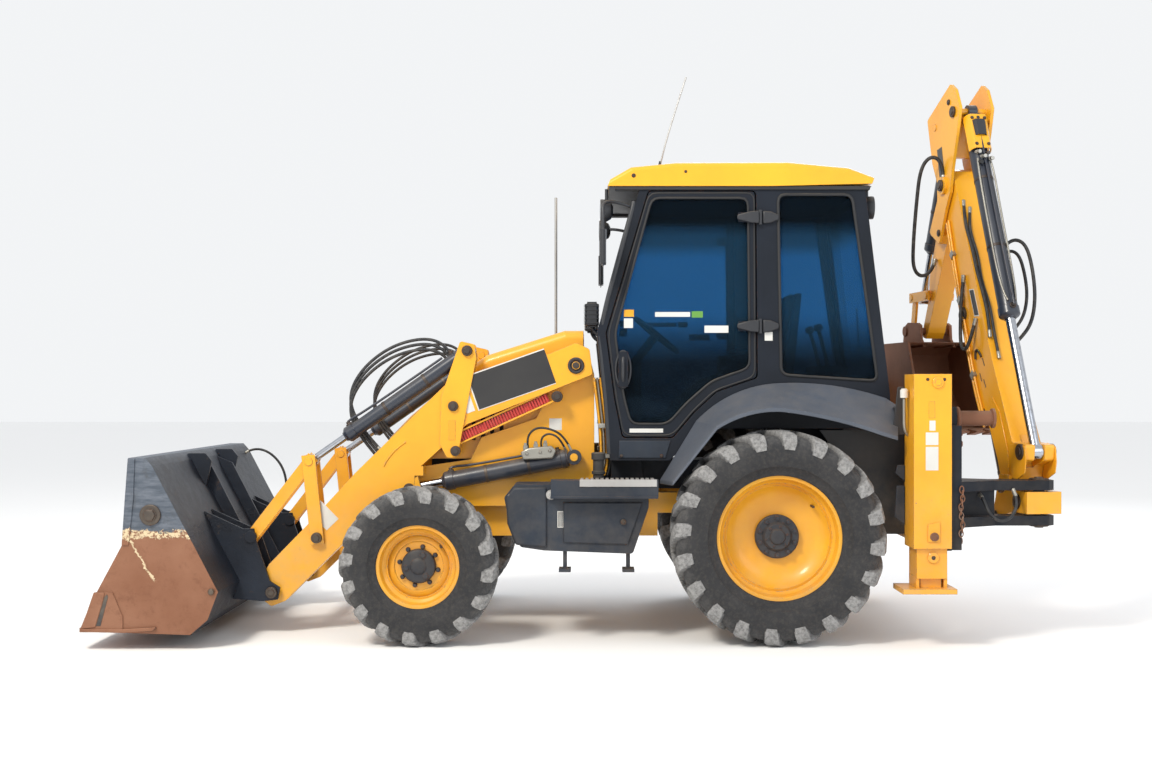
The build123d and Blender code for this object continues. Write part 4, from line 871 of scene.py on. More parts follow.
def seal(name, outline, across, inset, radius, body):
    """A rubber seal round an opening in the cab's side."""
    curve = bpy.data.curves.new(name, "CURVE")
    curve.dimensions = "3D"
    curve.bevel_depth = radius
    curve.bevel_resolution = 2
    middle = sum((Vector(point) for point in outline), Vector((0, 0))) / len(outline)
    corners = [at(x, across, z) for x, z in outline]
    centre = at(middle.x, across, middle.y)
    corners = [corner + (centre - corner).normalized() * inset for corner in corners]
    points = rounded_loop(corners, 0.05)
    spline = curve.splines.new("POLY")
    spline.points.add(len(points) - 1)
    for point, place in zip(spline.points, points):
        point.co = (*place, 1)
    spline.use_cyclic_u = True
    return settle(show(name, curve), body, black_rubber)


DOOR_PANE = ((-0.75, 2.74), (-0.15, 2.74), (-0.14, 1.68), (-0.375, 1.6), (-0.53, 1.465),
             (-0.65, 1.33), (-0.88, 1.33), (-0.925, 1.5), (-0.98, 1.895))
QUARTER = ((0.04, 2.76), (0.5, 2.76), (0.66, 1.6), (0.06, 1.64))
DOOR_EDGE = ((-0.768, 2.783), (-0.107, 2.783), (-0.097, 1.621), (-0.346, 1.535), (-0.491, 1.402),
             (-0.622, 1.248), (-0.931, 1.248), (-0.98, 1.492), (-1.032, 1.897))
DOOR_FRAME = ((-0.774, 2.79), (-0.098, 2.79), (-0.088, 1.616), (-0.342, 1.529), (-0.486, 1.397),
              (-0.618, 1.241), (-0.937, 1.241), (-0.987, 1.491), (-1.04, 1.898))
for side, name in ((-1, "left"), (1, "right")):
    seal("door_pane_seal_" + name, DOOR_PANE, side * 0.704, -0.002, 0.008, "door_" + name)
    seal("door_edge_seal_" + name, DOOR_EDGE, side * 0.703, 0.01, 0.006, "door_" + name)
    seal("quarter_seal_" + name, QUARTER, side * 0.704, -0.004, 0.01, "chassis")
    seal("door_weather_strip_" + name, DOOR_FRAME, side * 0.648, 0.002, 0.011, "chassis")
    # hinges: an arrow-shaped cast arm bolted through the glass to the pillar
    for z in (1.94, 2.62):
        for half, reach, body in (("leaf", -1, "door_" + name), ("anchor", 1, "chassis")):
            root = -0.085
            tip = root + reach * (0.135 if reach < 0 else 0.1)
            outline = [back((root - 0.001 * reach, z - 0.04)), back((root - 0.001 * reach, z + 0.04)),
                       back((root + reach * 0.05, z + 0.036)), back((tip, z + 0.014)),
                       back((tip, z - 0.014)), back((root + reach * 0.05, z - 0.036))]
            if reach > 0:
                outline = [back((x - AXLE.x + 0.028, up)) for x, up in outline]
                plate(f"hinge_{half}_{int(z * 100)}_{name}", outline, *sorted((side * 0.7052, side * 0.728)),
                      body, black_plastic, 0.008)
            else:
                plate(f"hinge_{half}_{int(z * 100)}_{name}", outline, *sorted((side * 0.727, side * 0.744)),
                      body, black_plastic, 0.007)
        turned(f"hinge_barrel_{int(z * 100)}_{name}", [(-0.046, 0.0005), (-0.046, 0.013), (0.046, 0.013),
                                                       (0.046, 0.0005)],
               at(-0.075, side * 0.721, z), (0, 0, 1), "door_" + name, black_plastic, 20)
    # the oval handle cup and its pull
    shape = bmesh.new()
    turn_ring(shape, [(-0.002, 0.6), (-0.002, 1.0), (0.004, 1.02), (0.01, 0.98), (0.012, 0.84),
                      (0.004, 0.72), (0.001, 0.6)], Vector((0, 0, 0)), side, 40)
    cup = from_bmesh("handle_cup_" + name, shape)
    cup.data.transform(Matrix.Translation(at(-0.93, side * 0.705, 1.67))
                       @ Matrix.Diagonal((0.052, 1.0, 0.12, 1.0)))
    settle(cup, "door_" + name, black_plastic, 40)
    round_bar("handle_pull_" + name,
              [at(-0.93, side * 0.712, 1.755), at(-0.932, side * 0.738, 1.735),
               at(-0.932, side * 0.742, 1.67),
               at(-0.932, side * 0.738, 1.605), at(-0.93, side * 0.712, 1.585)], 0.011,
              "door_" + name, black_plastic)
    # blank stickers on the panes
    face = sorted((side * 0.701, side * 0.7022))
    plate("pane_sticker_white_" + name, [back(p) for p in ((-0.925, 1.93), (-0.925, 1.99), (-0.868, 1.99),
                                                          (-0.868, 1.93))],
          *sorted((side * 0.688, side * 0.6892)), "door_" + name, sign_white, 0)
    plate("pane_sticker_yellow_" + name, [back(p) for p in ((-0.925, 2.0), (-0.925, 2.045), (-0.862, 2.045),
                                                           (-0.862, 2.0))],
          *sorted((side * 0.688, side * 0.6892)), "door_" + name, rim_yellow, 0)
    plate("pane_sticker_long_" + name, [back(p) for p in ((-0.73, 2.0), (-0.73, 2.03), (-0.51, 2.03),
                                                         (-0.51, 2.0))],
          *sorted((side * 0.688, side * 0.6892)), "door_" + name, sign_white, 0)
    plate("pane_sticker_green_" + name, [back(p) for p in ((-0.5, 1.995), (-0.5, 2.035), (-0.43, 2.035),
                                                          (-0.43, 1.995))],
          *sorted((side * 0.688, side * 0.6892)), "door_" + name, sign_green, 0)
    plate("pane_sticker_low_" + name, [back(p) for p in ((-0.42, 1.9), (-0.42, 1.945), (-0.27, 1.945),
                                                        (-0.27, 1.9))],
          *sorted((side * 0.688, side * 0.6892)), "door_" + name, sign_white, 0)
    plate("pillar_sticker_" + name, [back(p) for p in ((-0.045, 1.85), (-0.045, 1.905), (0.005, 1.905),
                                                      (0.005, 1.85))],
          *sorted((side * 0.7048, side * 0.706)), "chassis", sign_white, 0)
    plate("door_foot_sticker_" + name, [back(p) for p in ((-0.89, 1.275), (-0.89, 1.3), (-0.68, 1.3),
                                                         (-0.68, 1.275))],
          *sorted((side * 0.7048, side * 0.706)), "door_" + name, sign_white, 0)
    # the recessed skirt panel below the door and its bolts
    plate("skirt_panel_" + name, [back(p) for p in ((-0.96, 1.115), (-0.955, 1.225), (-0.632, 1.225),
                                                   (-0.664, 1.115))],
          *sorted((side * 0.704, side * 0.712)), "chassis", grey_paint, 0.006)
    put_bolts("skirt_bolts_" + name, "chassis",
              [at(-0.94, side * 0.712, 1.13), at(-0.69, side * 0.712, 1.13)],
              (0, side, 0), 0.016, 0.006)
    # the A-pillar's outer trim and the grab rail beside the windscreen
    round_bar("pillar_rail_" + name,
              [at(-1.06, side * 0.69, 1.95), at(-1.05, side * 0.7, 2.02), at(-0.96, side * 0.702, 2.36),
               at(-0.875, side * 0.7, 2.66), at(-0.862, side * 0.688, 2.72)], 0.016, "chassis", black_plastic)
    round_bar("scuttle_trim_" + name,
              [at(-1.08, side * 0.69, 1.88), at(-1.062, side * 0.692, 1.7), at(-1.03, side * 0.692, 1.4),
               at(-1.018, side * 0.692, 1.14)], 0.016, "chassis", black_plastic)

# ---------------------------------------------------------------- roof
# One moulded and pressed cap over the cab, with a dark gutter under its lip and a blank rivet on the
# side. The front lip carries a raised seam where its two halves meet.
# A thin black sheet lines the roof's whole underside; under the overhangs its darkness is painted shade.
plate("roof_underside_shade_sheet", [back(p) for p in ((-1.018, 2.8105), (-1.018, 2.8145), (0.62, 2.8145),
                                       (0.62, 2.8105))], -0.716, 0.716, "chassis", black_plastic, 0)
gutter = [back(p) for p in ((-0.98, 2.792), (-0.98, 2.817), (0.615, 2.817), (0.612, 2.792))]
for side, name in ((-1, "left"), (1, "right")):
    plate("gutter_" + name, gutter, *sorted((side * 0.64, side * 0.718)), "chassis", black_rubber, 0.004)
    put_bolts("roof_rivet_" + name, "chassis", [at(-0.54, side * 0.725, 2.905)], (0, side, 0), 0.014, 0.004,
              pin_steel)
    put_bolts("roof_corner_bolt_" + name, "chassis", [at(-0.865, side * 0.724, 2.88)], (0, side, 0), 0.02,
              0.006, pin_steel)

# ---------------------------------------------------------------- lamps and mirrors
# Round work lamps hang under the roof's front and rear lips, ribbed head lamps stand on the scuttle,
# and a mirror hangs off each front corner on a bent arm. All are black moulded plastic.
clear_lens = bpy.data.materials.new("clear_lens")
clear_lens.use_nodes = True
lens_tree = clear_lens.node_tree
lens = lens_tree.nodes["Principled BSDF"]
lens_place = wire(lens_tree, "TexCoord").outputs["Object"]
lens_ribs = wire(lens_tree, "TexWave", {"wave_type": "BANDS", "bands_direction": "Z"}, Vector=lens_place,
                 Scale=34.0, Distortion=0.6).outputs["Fac"]
lens_colour = blend_colours(lens_tree, noise(lens_tree, lens_place, 40.0), hue(0.7, 0.74, 0.78),
                            hue(0.42, 0.44, 0.46))
lens_tree.links.new(lens_colour, lens.inputs["Base Color"])
lens.inputs["Metallic"].default_value = 0.7
lens.inputs["Roughness"].default_value = 0.12
lens.inputs["Coat Weight"].default_value = 1.0
lens_tree.links.new(wire(lens_tree, "Bump", Height=lens_ribs, Distance=0.002, Strength=0.7).outputs[0],
                    lens.inputs["Normal"])
LAMP_SHELL = [(-0.004, 0.0006), (-0.004, 0.056), (0.004, 0.064), (0.004, 0.072), (-0.006, 0.074),
              (-0.03, 0.072), (-0.064, 0.052), (-0.076, 0.03), (-0.078, 0.0006)]
LAMP_LENS = [(0.001, 0.0006), (-0.003, 0.058), (0.003, 0.058), (0.007, 0.045), (0.01, 0.0006)]


def rib_box(name, low, high, body, material, soft=0.012, ribs=0):
    """A moulded box with rounded edges and ribs across its outer side."""
    shape = bmesh.new()
    bmesh.ops.create_cube(shape, size=1)
    for vert in shape.verts:
        vert.co = Vector((low.x if vert.co.x < 0 else high.x, low.y if vert.co.y < 0 else high.y,
                          low.z if vert.co.z < 0 else high.z))
    bmesh.ops.bevel(shape, geom=shape.edges[:], offset=soft, segments=3, affect="EDGES")
    for rib in range(ribs):
        level = low.z + (high.z - low.z) * (rib + 1) / (ribs + 1)
        loop = [(low.x - 0.002, low.y - 0.002), (high.x + 0.001, low.y - 0.002),
                (high.x + 0.001, high.y + 0.002),
                (low.x - 0.002, high.y + 0.002)]
        bottom = [shape.verts.new((x, y, level - 0.003)) for x, y in loop]
        top = [shape.verts.new((x, y, level + 0.003)) for x, y in loop]
        shape.faces.new(bottom)
        shape.faces.new(top)
        for k in range(4):
            shape.faces.new((bottom[k], bottom[(k + 1) % 4], top[(k + 1) % 4], top[k]))
    return settle(from_bmesh(name, shape), body, material, 30)


for side, name in ((-1, "left"), (1, "right")):
    for end, x, z, way in (("front", -1.068, 2.68, -1), ("rear", 0.657, 2.7, 1)):
        shell_shape = [(out, radius) for out, radius in LAMP_SHELL]
        turned(f"work_lamp_{end}_{name}", shell_shape, at(x, side * 0.56, z), (way, 0, 0),
                                  "chassis", black_plastic, 36)
        turned(f"work_lens_{end}_{name}", LAMP_LENS, at(x + way * 0.001, side * 0.56, z), (way, 0, 0),
               "chassis", clear_lens, 36)
        stem = x - way * 0.036
        round_bar(f"work_lamp_stem_{end}_{name}",
                                     [at(stem, side * 0.56, z + 0.06), at(stem, side * 0.56, z + 0.1),
                                      at(stem, side * 0.56, 2.818)], 0.011, "chassis", black_plastic)
    head_low, head_high = at(-1.17, side * 0.4375 - 0.052, 1.945), at(-1.08, side * 0.4375 + 0.052, 2.108)
    rib_box("head_lamp_" + name, head_low, head_high, "chassis", black_plastic, 0.014, 5)
    lens_low, lens_high = at(-1.178, side * 0.4375 - 0.042, 1.96), at(-1.168, side * 0.4375 + 0.042, 2.092)
    rib_box("head_lens_" + name, lens_low, lens_high, "chassis", clear_lens, 0.004)
    round_bar("head_lamp_foot_" + name,
                                 [at(-1.125, side * 0.4375, 1.95), at(-1.11, side * 0.4375, 1.9),
                                  at(-1.06, side * 0.4375, 1.885)], 0.014, "chassis", black_plastic)
    mirror_low, mirror_high = at(-1.075, side * 0.855 - 0.083, 2.3), at(-1.04, side * 0.855 + 0.083, 2.54)
    rib_box("mirror_" + name, mirror_low, mirror_high, "chassis", black_plastic, 0.015)
    glass_low, glass_high = at(-1.041, side * 0.855 - 0.07, 2.318), at(-1.038, side * 0.855 + 0.07, 2.522)
    rib_box("mirror_glass_" + name, glass_low, glass_high, "chassis", chrome_rod, 0.001)
    round_bar("mirror_arm_" + name,
                                 [at(-0.88, side * 0.68, 2.69), at(-0.98, side * 0.73, 2.72),
                                  at(-1.058, side * 0.82, 2.7), at(-1.058, side * 0.855, 2.64),
                                  at(-1.058, side * 0.855, 2.53)], 0.011, "chassis", black_plastic)
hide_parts("lamps")
mast_steel = weathered("mast_steel", hue(0.5, 0.5, 0.49), hue(0.36, 0.35, 0.34), RUST, 0.42, metal=0.5,
                       chips=0.3, dust=0.2)
finish_node("mast", mast_steel)
round_bar("whip_aerial", [at(-0.7, -0.6, 2.935), at(-0.69, -0.6, 2.98), at(-0.64, -0.6, 3.18),
                          at(-0.53, -0.6, 3.52)], 0.0055, "chassis", mast_steel, 8)
turned("whip_foot", [(-0.01, 0.0005), (-0.01, 0.022), (0.012, 0.02), (0.03, 0.01), (0.06, 0.006),
                     (0.06, 0.0005)], at(-0.7, -0.6, 2.93), (0.1, 0, 1), "chassis", black_rubber, 20)
for side, name in ((-1, "left"), (1, "right")):
    round_bar("wiper_" + name, [at(-1.084, side * 0.35, 1.92), at(-1.04, side * 0.18, 2.1),
                                at(-0.985, side * 0.05, 2.28)], 0.006, "chassis", black_plastic, 8)
round_bar("rear_wiper", [at(0.728, 0.2, 1.66), at(0.7, 0.1, 1.9), at(0.678, 0.05, 2.1)], 0.006,
          "chassis", black_plastic, 8)

# ---------------------------------------------------------------- side tanks and steps
# A steel fuel tank on one side and the hydraulic tank on the other, painted dark grey. A recessed
# cover with a latch closes each toolbox, and a pressed aluminium grip strip makes the step.
for side, name in ((-1, "left"), (1, "right")):
    out = side * 0.95
    cover = [back(p) for p in ((-1.3, 0.612), (-1.3, 0.86), (-0.815, 0.86), (-0.905, 0.6))]
    plate("tank_cover_" + name, cover, *sorted((out - side * 0.006, out + side * 0.012)), "chassis",
          grey_paint, 0.01)
    shape = bmesh.new()
    grip = 15
    for tooth in range(grip):
        x0 = -1.195 + 0.455 * tooth / grip
        low = at(x0, min(side * 0.948, side * 1.05), 1.0005)
        high = at(x0 + 0.455 / grip * 0.62, max(side * 0.948, side * 1.05), 1.007)
        verts = [shape.verts.new((x, y, z)) for z in (low.z, high.z) for x, y in
                 ((low.x, low.y), (high.x, low.y), (high.x, high.y), (low.x, high.y))]
        shape.faces.new(verts[:4])
        shape.faces.new(verts[4:])
        for k in range(4):
            shape.faces.new((verts[k], verts[(k + 1) % 4], verts[4 + (k + 1) % 4], verts[4 + k]))
    settle(from_bmesh("step_grip_" + name, shape), "chassis", mast_steel, 30)
    ledge = [back(p) for p in ((-1.2, 0.96), (-1.2, 1.004), (-0.735, 1.004), (-0.735, 0.96))]
    plate("step_strip_" + name, ledge, *sorted((side * 1.058, side * 1.066)), "chassis", mast_steel, 0.002)
    plate("ledge_lip_" + name, [back(p) for p in ((-1.375, 0.888), (-1.375, 0.904), (-0.728, 0.904),
                                                 (-0.728, 0.888))],
          *sorted((side * 0.952, side * 1.064)), "chassis", grey_paint, 0.003)
    pin_head("tank_knob_" + name, "chassis", at(-1.375, out + side * 0.002, 0.905), (0, side, 0), 0.03, 0.034,
             mast_steel)
    put_bolts("tank_bolts_" + name, "chassis", [at(-1.62, out, 0.895), at(-1.6, out, 0.765)],
              (0, side, 0), 0.026, 0.01, mast_steel)
    pin_head("tank_latch_" + name, "chassis", at(-0.935, out + side * 0.012, 0.74), (0, side, 0), 0.018,
             0.02)
    plate("tank_vent_" + name, [back(p) for p in ((-1.335, 0.705), (-1.335, 0.805), (-1.285, 0.805),
                                                 (-1.285, 0.705))],
          *sorted((out, out + side * 0.004)), "chassis", sign_white, 0)
    for rib in range(6):
        x = -1.33 + rib * 0.008
        plate(f"tank_vent_rib_{rib}_{name}", [back(p) for p in ((x, 0.71), (x, 0.8), (x + 0.003, 0.8),
                                                               (x + 0.003, 0.71))],
              *sorted((out + side * 0.004, out + side * 0.007)), "chassis", grey_paint, 0)
    # the front of the tank is a separate moulding with a soft shoulder
    shoulder = [back(p) for p in ((-1.59, 0.6), (-1.64, 0.73), (-1.648, 0.88), (-1.6, 0.95),
                                  (-1.4, 0.95), (-1.4, 0.585))]
    plate("tank_shoulder_" + name, shoulder, *sorted((out - side * 0.008, out + side * 0.016)), "chassis",
          grey_paint, 0.014)
    # the filler pipe stands up from the tank beside the tower
    turned("filler_" + name, [(-0.01, 0.0005), (-0.01, 0.034), (0.06, 0.034), (0.062, 0.042), (0.08, 0.042),
                              (0.082, 0.034), (0.15, 0.034), (0.152, 0.044), (0.19, 0.044), (0.196, 0.036),
                              (0.196, 0.0005)],
           at(-1.085, side * 0.8, 0.96), (0, 0, 1), "chassis", black_rubber, 32)

# ---------------------------------------------------------------- tower pipework
# Steel pressure pipes climb the back of each loader tower to the cab floor, held by a block. A valve
# block of bright steel sits over the lift ram's foot.
zinc_steel = weathered("zinc_steel", hue(0.42, 0.41, 0.37), hue(0.26, 0.25, 0.22), RUST, 0.36, metal=0.7,
                       chips=0.3, dust=0.4)
for side, name in ((-1, "left"), (1, "right")):
    for pipe in range(4):
        x = -1.066 + pipe * 0.019
        y = side * (0.6 - 0.012 * pipe)
        round_bar(f"tower_pipe_{pipe}_{name}",
                  [at(x - 0.02, y, 1.0), at(x, y, 1.06), at(x, y, 1.15), at(x - 0.006, y, 1.3),
                   at(x - 0.03, y, 1.5), at(x - 0.045, y, 1.62)], 0.0075, "chassis",
                  (yellow_paint, zinc_steel, yellow_paint, black_rubber)[pipe], 8)
    for z in (1.11, 1.3):
        plate(f"pipe_block_{int(z * 100)}_{name}", [back(p) for p in ((-1.085, z), (-1.085, z + 0.03),
                                                                     (-0.99, z + 0.03), (-0.99, z))],
              *sorted((side * 0.57, side * 0.622)), "chassis", zinc_steel, 0.004)
    body = [back(p) for p in ((-1.56, 1.1), (-1.575, 1.15), (-1.53, 1.175), (-1.38, 1.19),
                              (-1.35, 1.16), (-1.37, 1.11))]
    plate("ram_valve_" + name, body, *sorted((side * 0.6, side * 0.645)), "lift_ram_barrels", zinc_steel,
          0.008)
    for port, (x, z) in enumerate(((-1.545, 1.185), (-1.48, 1.195), (-1.42, 1.2))):
        turned(f"valve_port_{port}_{name}", [(-0.01, 0.0005), (-0.01, 0.016), (0.018, 0.016), (0.02, 0.011),
                                             (0.034, 0.011), (0.034, 0.0005)],
               at(x, side * 0.622, z - 0.012), (0, 0, 1), "lift_ram_barrels", zinc_steel, 6)
    put_bolts("valve_bolts_" + name, "lift_ram_barrels",
              [at(-1.535, side * 0.645, 1.14), at(-1.45, side * 0.645, 1.15), at(-1.39, side * 0.645, 1.16)],
              (0, side, 0), 0.016, 0.008, zinc_steel)

# ---------------------------------------------------------------- bonnet and nose
# The bonnet is one pressed panel hinged at its rear. Its nose is a slatted grille; rubber mats the
# louvres from behind, and a seam runs along the shoulder.
mesh_black = weathered("mesh_black", hue(0.012, 0.013, 0.015), hue(0.02, 0.02, 0.022), hue(0.04, 0.04, 0.04),
                       0.7, chips=0.0, dust=0.2)
for side, name in ((-1, "left"), (1, "right")):
    inner = side * 0.424
    plate("bonnet_mesh_" + name, [back(p) for p in ((-2.095, 1.205), (-2.095, 1.435), (-1.67, 1.435),
                                                   (-1.67, 1.205))],
          *sorted((inner - side * 0.006, inner)), "bonnet", mesh_black, 0)
    plate("tower_sticker_" + name, [back(p) for p in ((-1.398, 1.285), (-1.398, 1.36), (-1.318, 1.36),
                                                     (-1.318, 1.285))],
          *sorted((side * 0.5098, side * 0.5106)), "chassis", sign_white, 0)
    put_bolts("bonnet_catch_" + name, "bonnet",
              [at(-2.2, side * 0.4505, 1.15), at(-1.42, side * 0.4505, 1.15)],
              (0, side, 0), 0.022, 0.008, black_plastic)

# ---------------------------------------------------------------- mudguards
# Rotomoulded plastic mudguards over the rear wheels, faded grey by the sun, with a rolled edge.
grey_plastic = weathered("grey_plastic", hue(0.088, 0.102, 0.13), hue(0.058, 0.07, 0.092),
                         hue(0.22, 0.22, 0.22), 0.5, chips=0.0, dust=0.12, grain=0.0009, edge=0.006,
                         dirt_top=1.2)
finish_node("fenders", grey_plastic)

# ---------------------------------------------------------------- seat frame, console and controls
# The seat rides on a sprung steel base. The dash and the digger controls are black moulded plastic,
# with levers whose knobs have been polished by hands.
for side in (-1, 1):
    name = "left" if side < 0 else "right"
    for lever, y in enumerate((0.14, 0.2)):
        round_bar(f"dig_lever_{lever}_{name}", [at(0.44, side * y, 1.69), at(0.42, side * y, 1.8),
                                                at(0.38, side * (y + 0.01), 1.93)], 0.008, "chassis",
                  pin_steel, 8)
        turned(f"dig_knob_{lever}_{name}", [(-0.022, 0.0005), (-0.02, 0.014), (-0.004, 0.026), (0.012, 0.026),
                                            (0.026, 0.016), (0.03, 0.0005)],
               at(0.376, side * (y + 0.01), 1.95), (-0.2, 0, 1), "chassis", black_rubber, 20)
finish_node("console", black_plastic)

# ---------------------------------------------------------------- rear frame and stabilisers
# Two square steel tubes hold the sliding stabiliser legs, and two rails across the back carry the
# digger. Each tube has a bolted stop, blank plates and a drain boss; mudflaps hang before them.
for side, name in ((-1, "left"), (1, "right")):
    face = side * 1.175
    pin_head("stab_boss_" + name, "chassis", at(0.9225, face + side * 0.003, 1.586), (0, side, 0), 0.034,
             0.012,
             yellow_paint)
    put_bolts("stab_top_bolts_" + name, "chassis", [at(0.862, face, 1.604), at(0.962, face, 1.604)],
              (0, side, 0), 0.014, 0.004)
    for label, x0, x1, z0, z1, tone in (
        ("a", 0.868, 0.905, 1.375, 1.475, rim_yellow), ("b", 0.872, 0.908, 1.3, 1.36, sign_white),
        ("c", 0.85, 0.925, 1.215, 1.29, sign_white), ("d", 0.85, 0.925, 1.065, 1.205, sign_white),
    ):
        plate(f"stab_label_{label}_{name}", [back(p) for p in ((x0, z0), (x0, z1), (x1, z1), (x1, z0))],
              *sorted((face, face + side * 0.0014)), "chassis", tone, 0)
    plate("stab_stop_" + name, [back(p) for p in ((0.862, 0.64), (0.862, 0.745), (0.935, 0.76),
                                                 (0.935, 0.64))],
          *sorted((face, face + side * 0.009)), "chassis", yellow_paint, 0.008)
    pin_head("stab_stop_pin_" + name, "chassis", at(0.9, face + side * 0.009, 0.672), (0, side, 0), 0.026,
             0.01, rusty_steel)
    turned("stab_foot_washer_" + name, [(-0.004, 0.012), (-0.004, 0.034), (0.008, 0.034), (0.011, 0.03),
                                        (0.011, 0.012)],
           at(0.9, side * 1.153, 0.545), (0, side, 0), "stabiliser_leg_" + name, yellow_paint, 28)
    put_bolts("stab_foot_bolt_" + name, "stabiliser_leg_" + name, [at(0.9, side * 1.153, 0.545)],
              (0, side, 0), 0.02, 0.009, pin_steel)
    # the inner wing behind the wheel, a black sheet that is also painted shade over the frame's cross beams,
    # and the mudflap of dark plate before the tube
    plate("wheel_shade_sheet_" + name, [back(p) for p in ((0.3, 1.29), (0.862, 1.29), (0.862, 0.64),
                                                  (0.7, 0.64), (0.56, 0.9), (0.4, 1.15))],
          *sorted((side * 0.69, side * 0.698)), "chassis", black_plastic, 0)
    for flap, (x0, x1, z0, z1) in enumerate(((0.72, 0.778, 0.985, 1.085), (0.715, 0.778, 0.72, 0.96))):
        outline = [back(p) for p in ((x0, z0 + 0.05), (x0 + 0.012, z1), (x1, z1), (x1, z0))]
        plate(f"mudflap_{flap}_{name}", outline, *sorted((side * 0.94, side * 0.952)), "chassis", grey_paint,
              0.004)
    # a white marker lamp on its stalk, and its dark bracket
    turned("marker_lamp_" + name, [(-0.026, 0.0005), (-0.026, 0.024), (0.02, 0.024), (0.03, 0.014),
                                   (0.03, 0.0005)], at(0.748, side * 1.06, 1.52), (0, 0, 1), "chassis",
           sign_white, 24)
    round_bar("marker_stalk_" + name, [at(0.748, side * 1.06, 1.49), at(0.748, side * 1.06, 1.4),
                                       at(0.752, side * 1.05, 1.29), at(0.78, side * 1.02, 1.27)], 0.01,
              "chassis", zinc_steel, 10)
    plate("tail_bracket_" + name, [back(p) for p in ((0.7, 1.27), (0.735, 1.56), (0.778, 1.56),
                                                    (0.778, 1.27))],
          *sorted((side * 0.935, side * 0.947)), "chassis", black_plastic, 0.003)
    # rear light cluster
    rib_box("tail_lamp_" + name, at(0.742, side * 0.84 - 0.075, 1.335), at(0.772, side * 0.84 + 0.075, 1.44),
            "chassis", black_plastic, 0.006)
    tail_red = strut_red
    rib_box("tail_lens_" + name, at(0.772, side * 0.84 - 0.068, 1.342), at(0.78, side * 0.84 + 0.02, 1.433),
            "chassis", tail_red, 0.003)

# ---------------------------------------------------------------- sideshift carriage and kingpost
# The carriage is flame-cut plate clamped on the two rails, the kingpost a steel casting between its
# lugs. Grease nipples, clamp bolts and the lock tube show rust where the dust holds water.
finish_node("carriage", dark_paint, )
SLEW = at(1.62, -0.86, 0)
for level, up, way in (("top", 0.99, 1), ("bottom", 0.715, -1)):
    turned("slew_cap_" + level, [(-0.004, 0.0005), (-0.004, 0.06), (0.006, 0.06), (0.01, 0.054),
                                 (0.01, 0.03), (0.018, 0.026), (0.018, 0.0005)],
           Vector((SLEW.x, SLEW.y, up)), (0, 0, way), "carriage", pin_steel, 36)
clamp_places = []
for x_side in (-0.24, -0.12, 0.12, 0.24):
    for z in (0.64, 0.7, 1.22, 1.285):
        clamp_places.append(at(1.07, -0.86 + x_side, z))
put_bolts("carriage_bolts", "carriage", clamp_places, (1, 0, 0), 0.034, 0.016, rusty_steel)
turned("lock_tube", [(0.0, 0.0435), (0.0, 0.0455), (0.205, 0.0455), (0.212, 0.06), (0.226, 0.06),
                     (0.226, 0.0435)], at(1.086, -0.97, 1.37), (1, 0, 0), "carriage", rusty_steel, 36)
turned("lock_tube_flange", [(0.0, 0.044), (0.0, 0.064), (0.01, 0.07), (0.022, 0.07), (0.026, 0.06),
                            (0.026, 0.044)], at(1.075, -0.97, 1.37), (1, 0, 0), "carriage", rusty_steel, 36)
turned("kingpost_eye", [(-0.012, 0.02), (-0.012, 0.046), (0.01, 0.046), (0.014, 0.038), (0.014, 0.02)],
       dig(0.06, 0.855, 0.112), ASIDE, "kingpost", pin_steel, 32)
turned("kingpost_eye_far", [(-0.012, 0.02), (-0.012, 0.046), (0.01, 0.046), (0.014, 0.038), (0.014, 0.02)],
       dig(0.06, 0.855, -0.112), -ASIDE, "kingpost", pin_steel, 32)
# a rusty chain and hook hang beside the tube
chain_shape = bmesh.new()
for link in range(11):
    centre = at(1.066 + 0.006 * math.sin(link), -1.165, 0.95 - 0.026 * link)
    turn = Matrix.Rotation(math.radians(90 * (link % 2)), 4, "Z")
    for step in range(20):
        first = 2 * math.pi * step / 20
        second = 2 * math.pi * (step + 1) / 20
        ring = []
        for angle in (first, second):
            loop = Vector((0.012 * math.cos(angle), 0, 0.021 * math.sin(angle)))
            normal = Vector((math.cos(angle), 0, math.sin(angle)))
            ring.append([chain_shape.verts.new(centre + turn @ (
                loop + (normal * math.cos(k * math.pi / 3) + Vector((0, 1, 0)) * math.sin(k * math.pi / 3))
                * 0.0035)) for k in range(6)])
        for k in range(6):
            chain_shape.faces.new((ring[0][k], ring[0][(k + 1) % 6], ring[1][(k + 1) % 6], ring[1][k]))
bmesh.ops.remove_doubles(chain_shape, verts=chain_shape.verts[:], dist=0.0002)
settle(from_bmesh("safety_chain", chain_shape), "carriage", rusty_steel, 60)

# ---------------------------------------------------------------- boom and dipper
# Tapered boxes of thin plate over wide bosses. Their pins have bolted keepers, pipes run down both
# sides under clamps, and a guard plate shields the dipper ram's ports.
BOOM_PINS = (
    # name, body, out, up, stands to the side, radius, height
    ("boom_foot", "kingpost", 0.22, 0.94, 0.14, 0.044, 0.022),
    ("boom_lift_foot", "kingpost", 0.32, 0.74, 0.14, 0.04, 0.02),
    ("boom_lift_head", "boom", 0.885, 2.05, 0.098, 0.05, 0.02),
    ("dipper_ram_foot", "boom", 0.04, 1.16, 0.098, 0.05, 0.022),
    ("dipper", "boom", 1.15, 2.96, 0.148, 0.04, 0.018),
    ("dipper_tail", "dipper", 0.985, 3.44, 0.13, 0.038, 0.016),
)
for name, body, out, up, stand, radius, tall in BOOM_PINS:
    for way, side_name in ((1, "near"), (-1, "far")):
        pin_head(f"pin_{name}_{side_name}", body, dig(out, up, way * stand), ASIDE * way, radius, tall)
PIPE_RUN = ((1.14, 2.7), (1.06, 2.46), (0.96, 2.19), (0.8, 1.8), (0.66, 1.48), (0.54, 1.3))
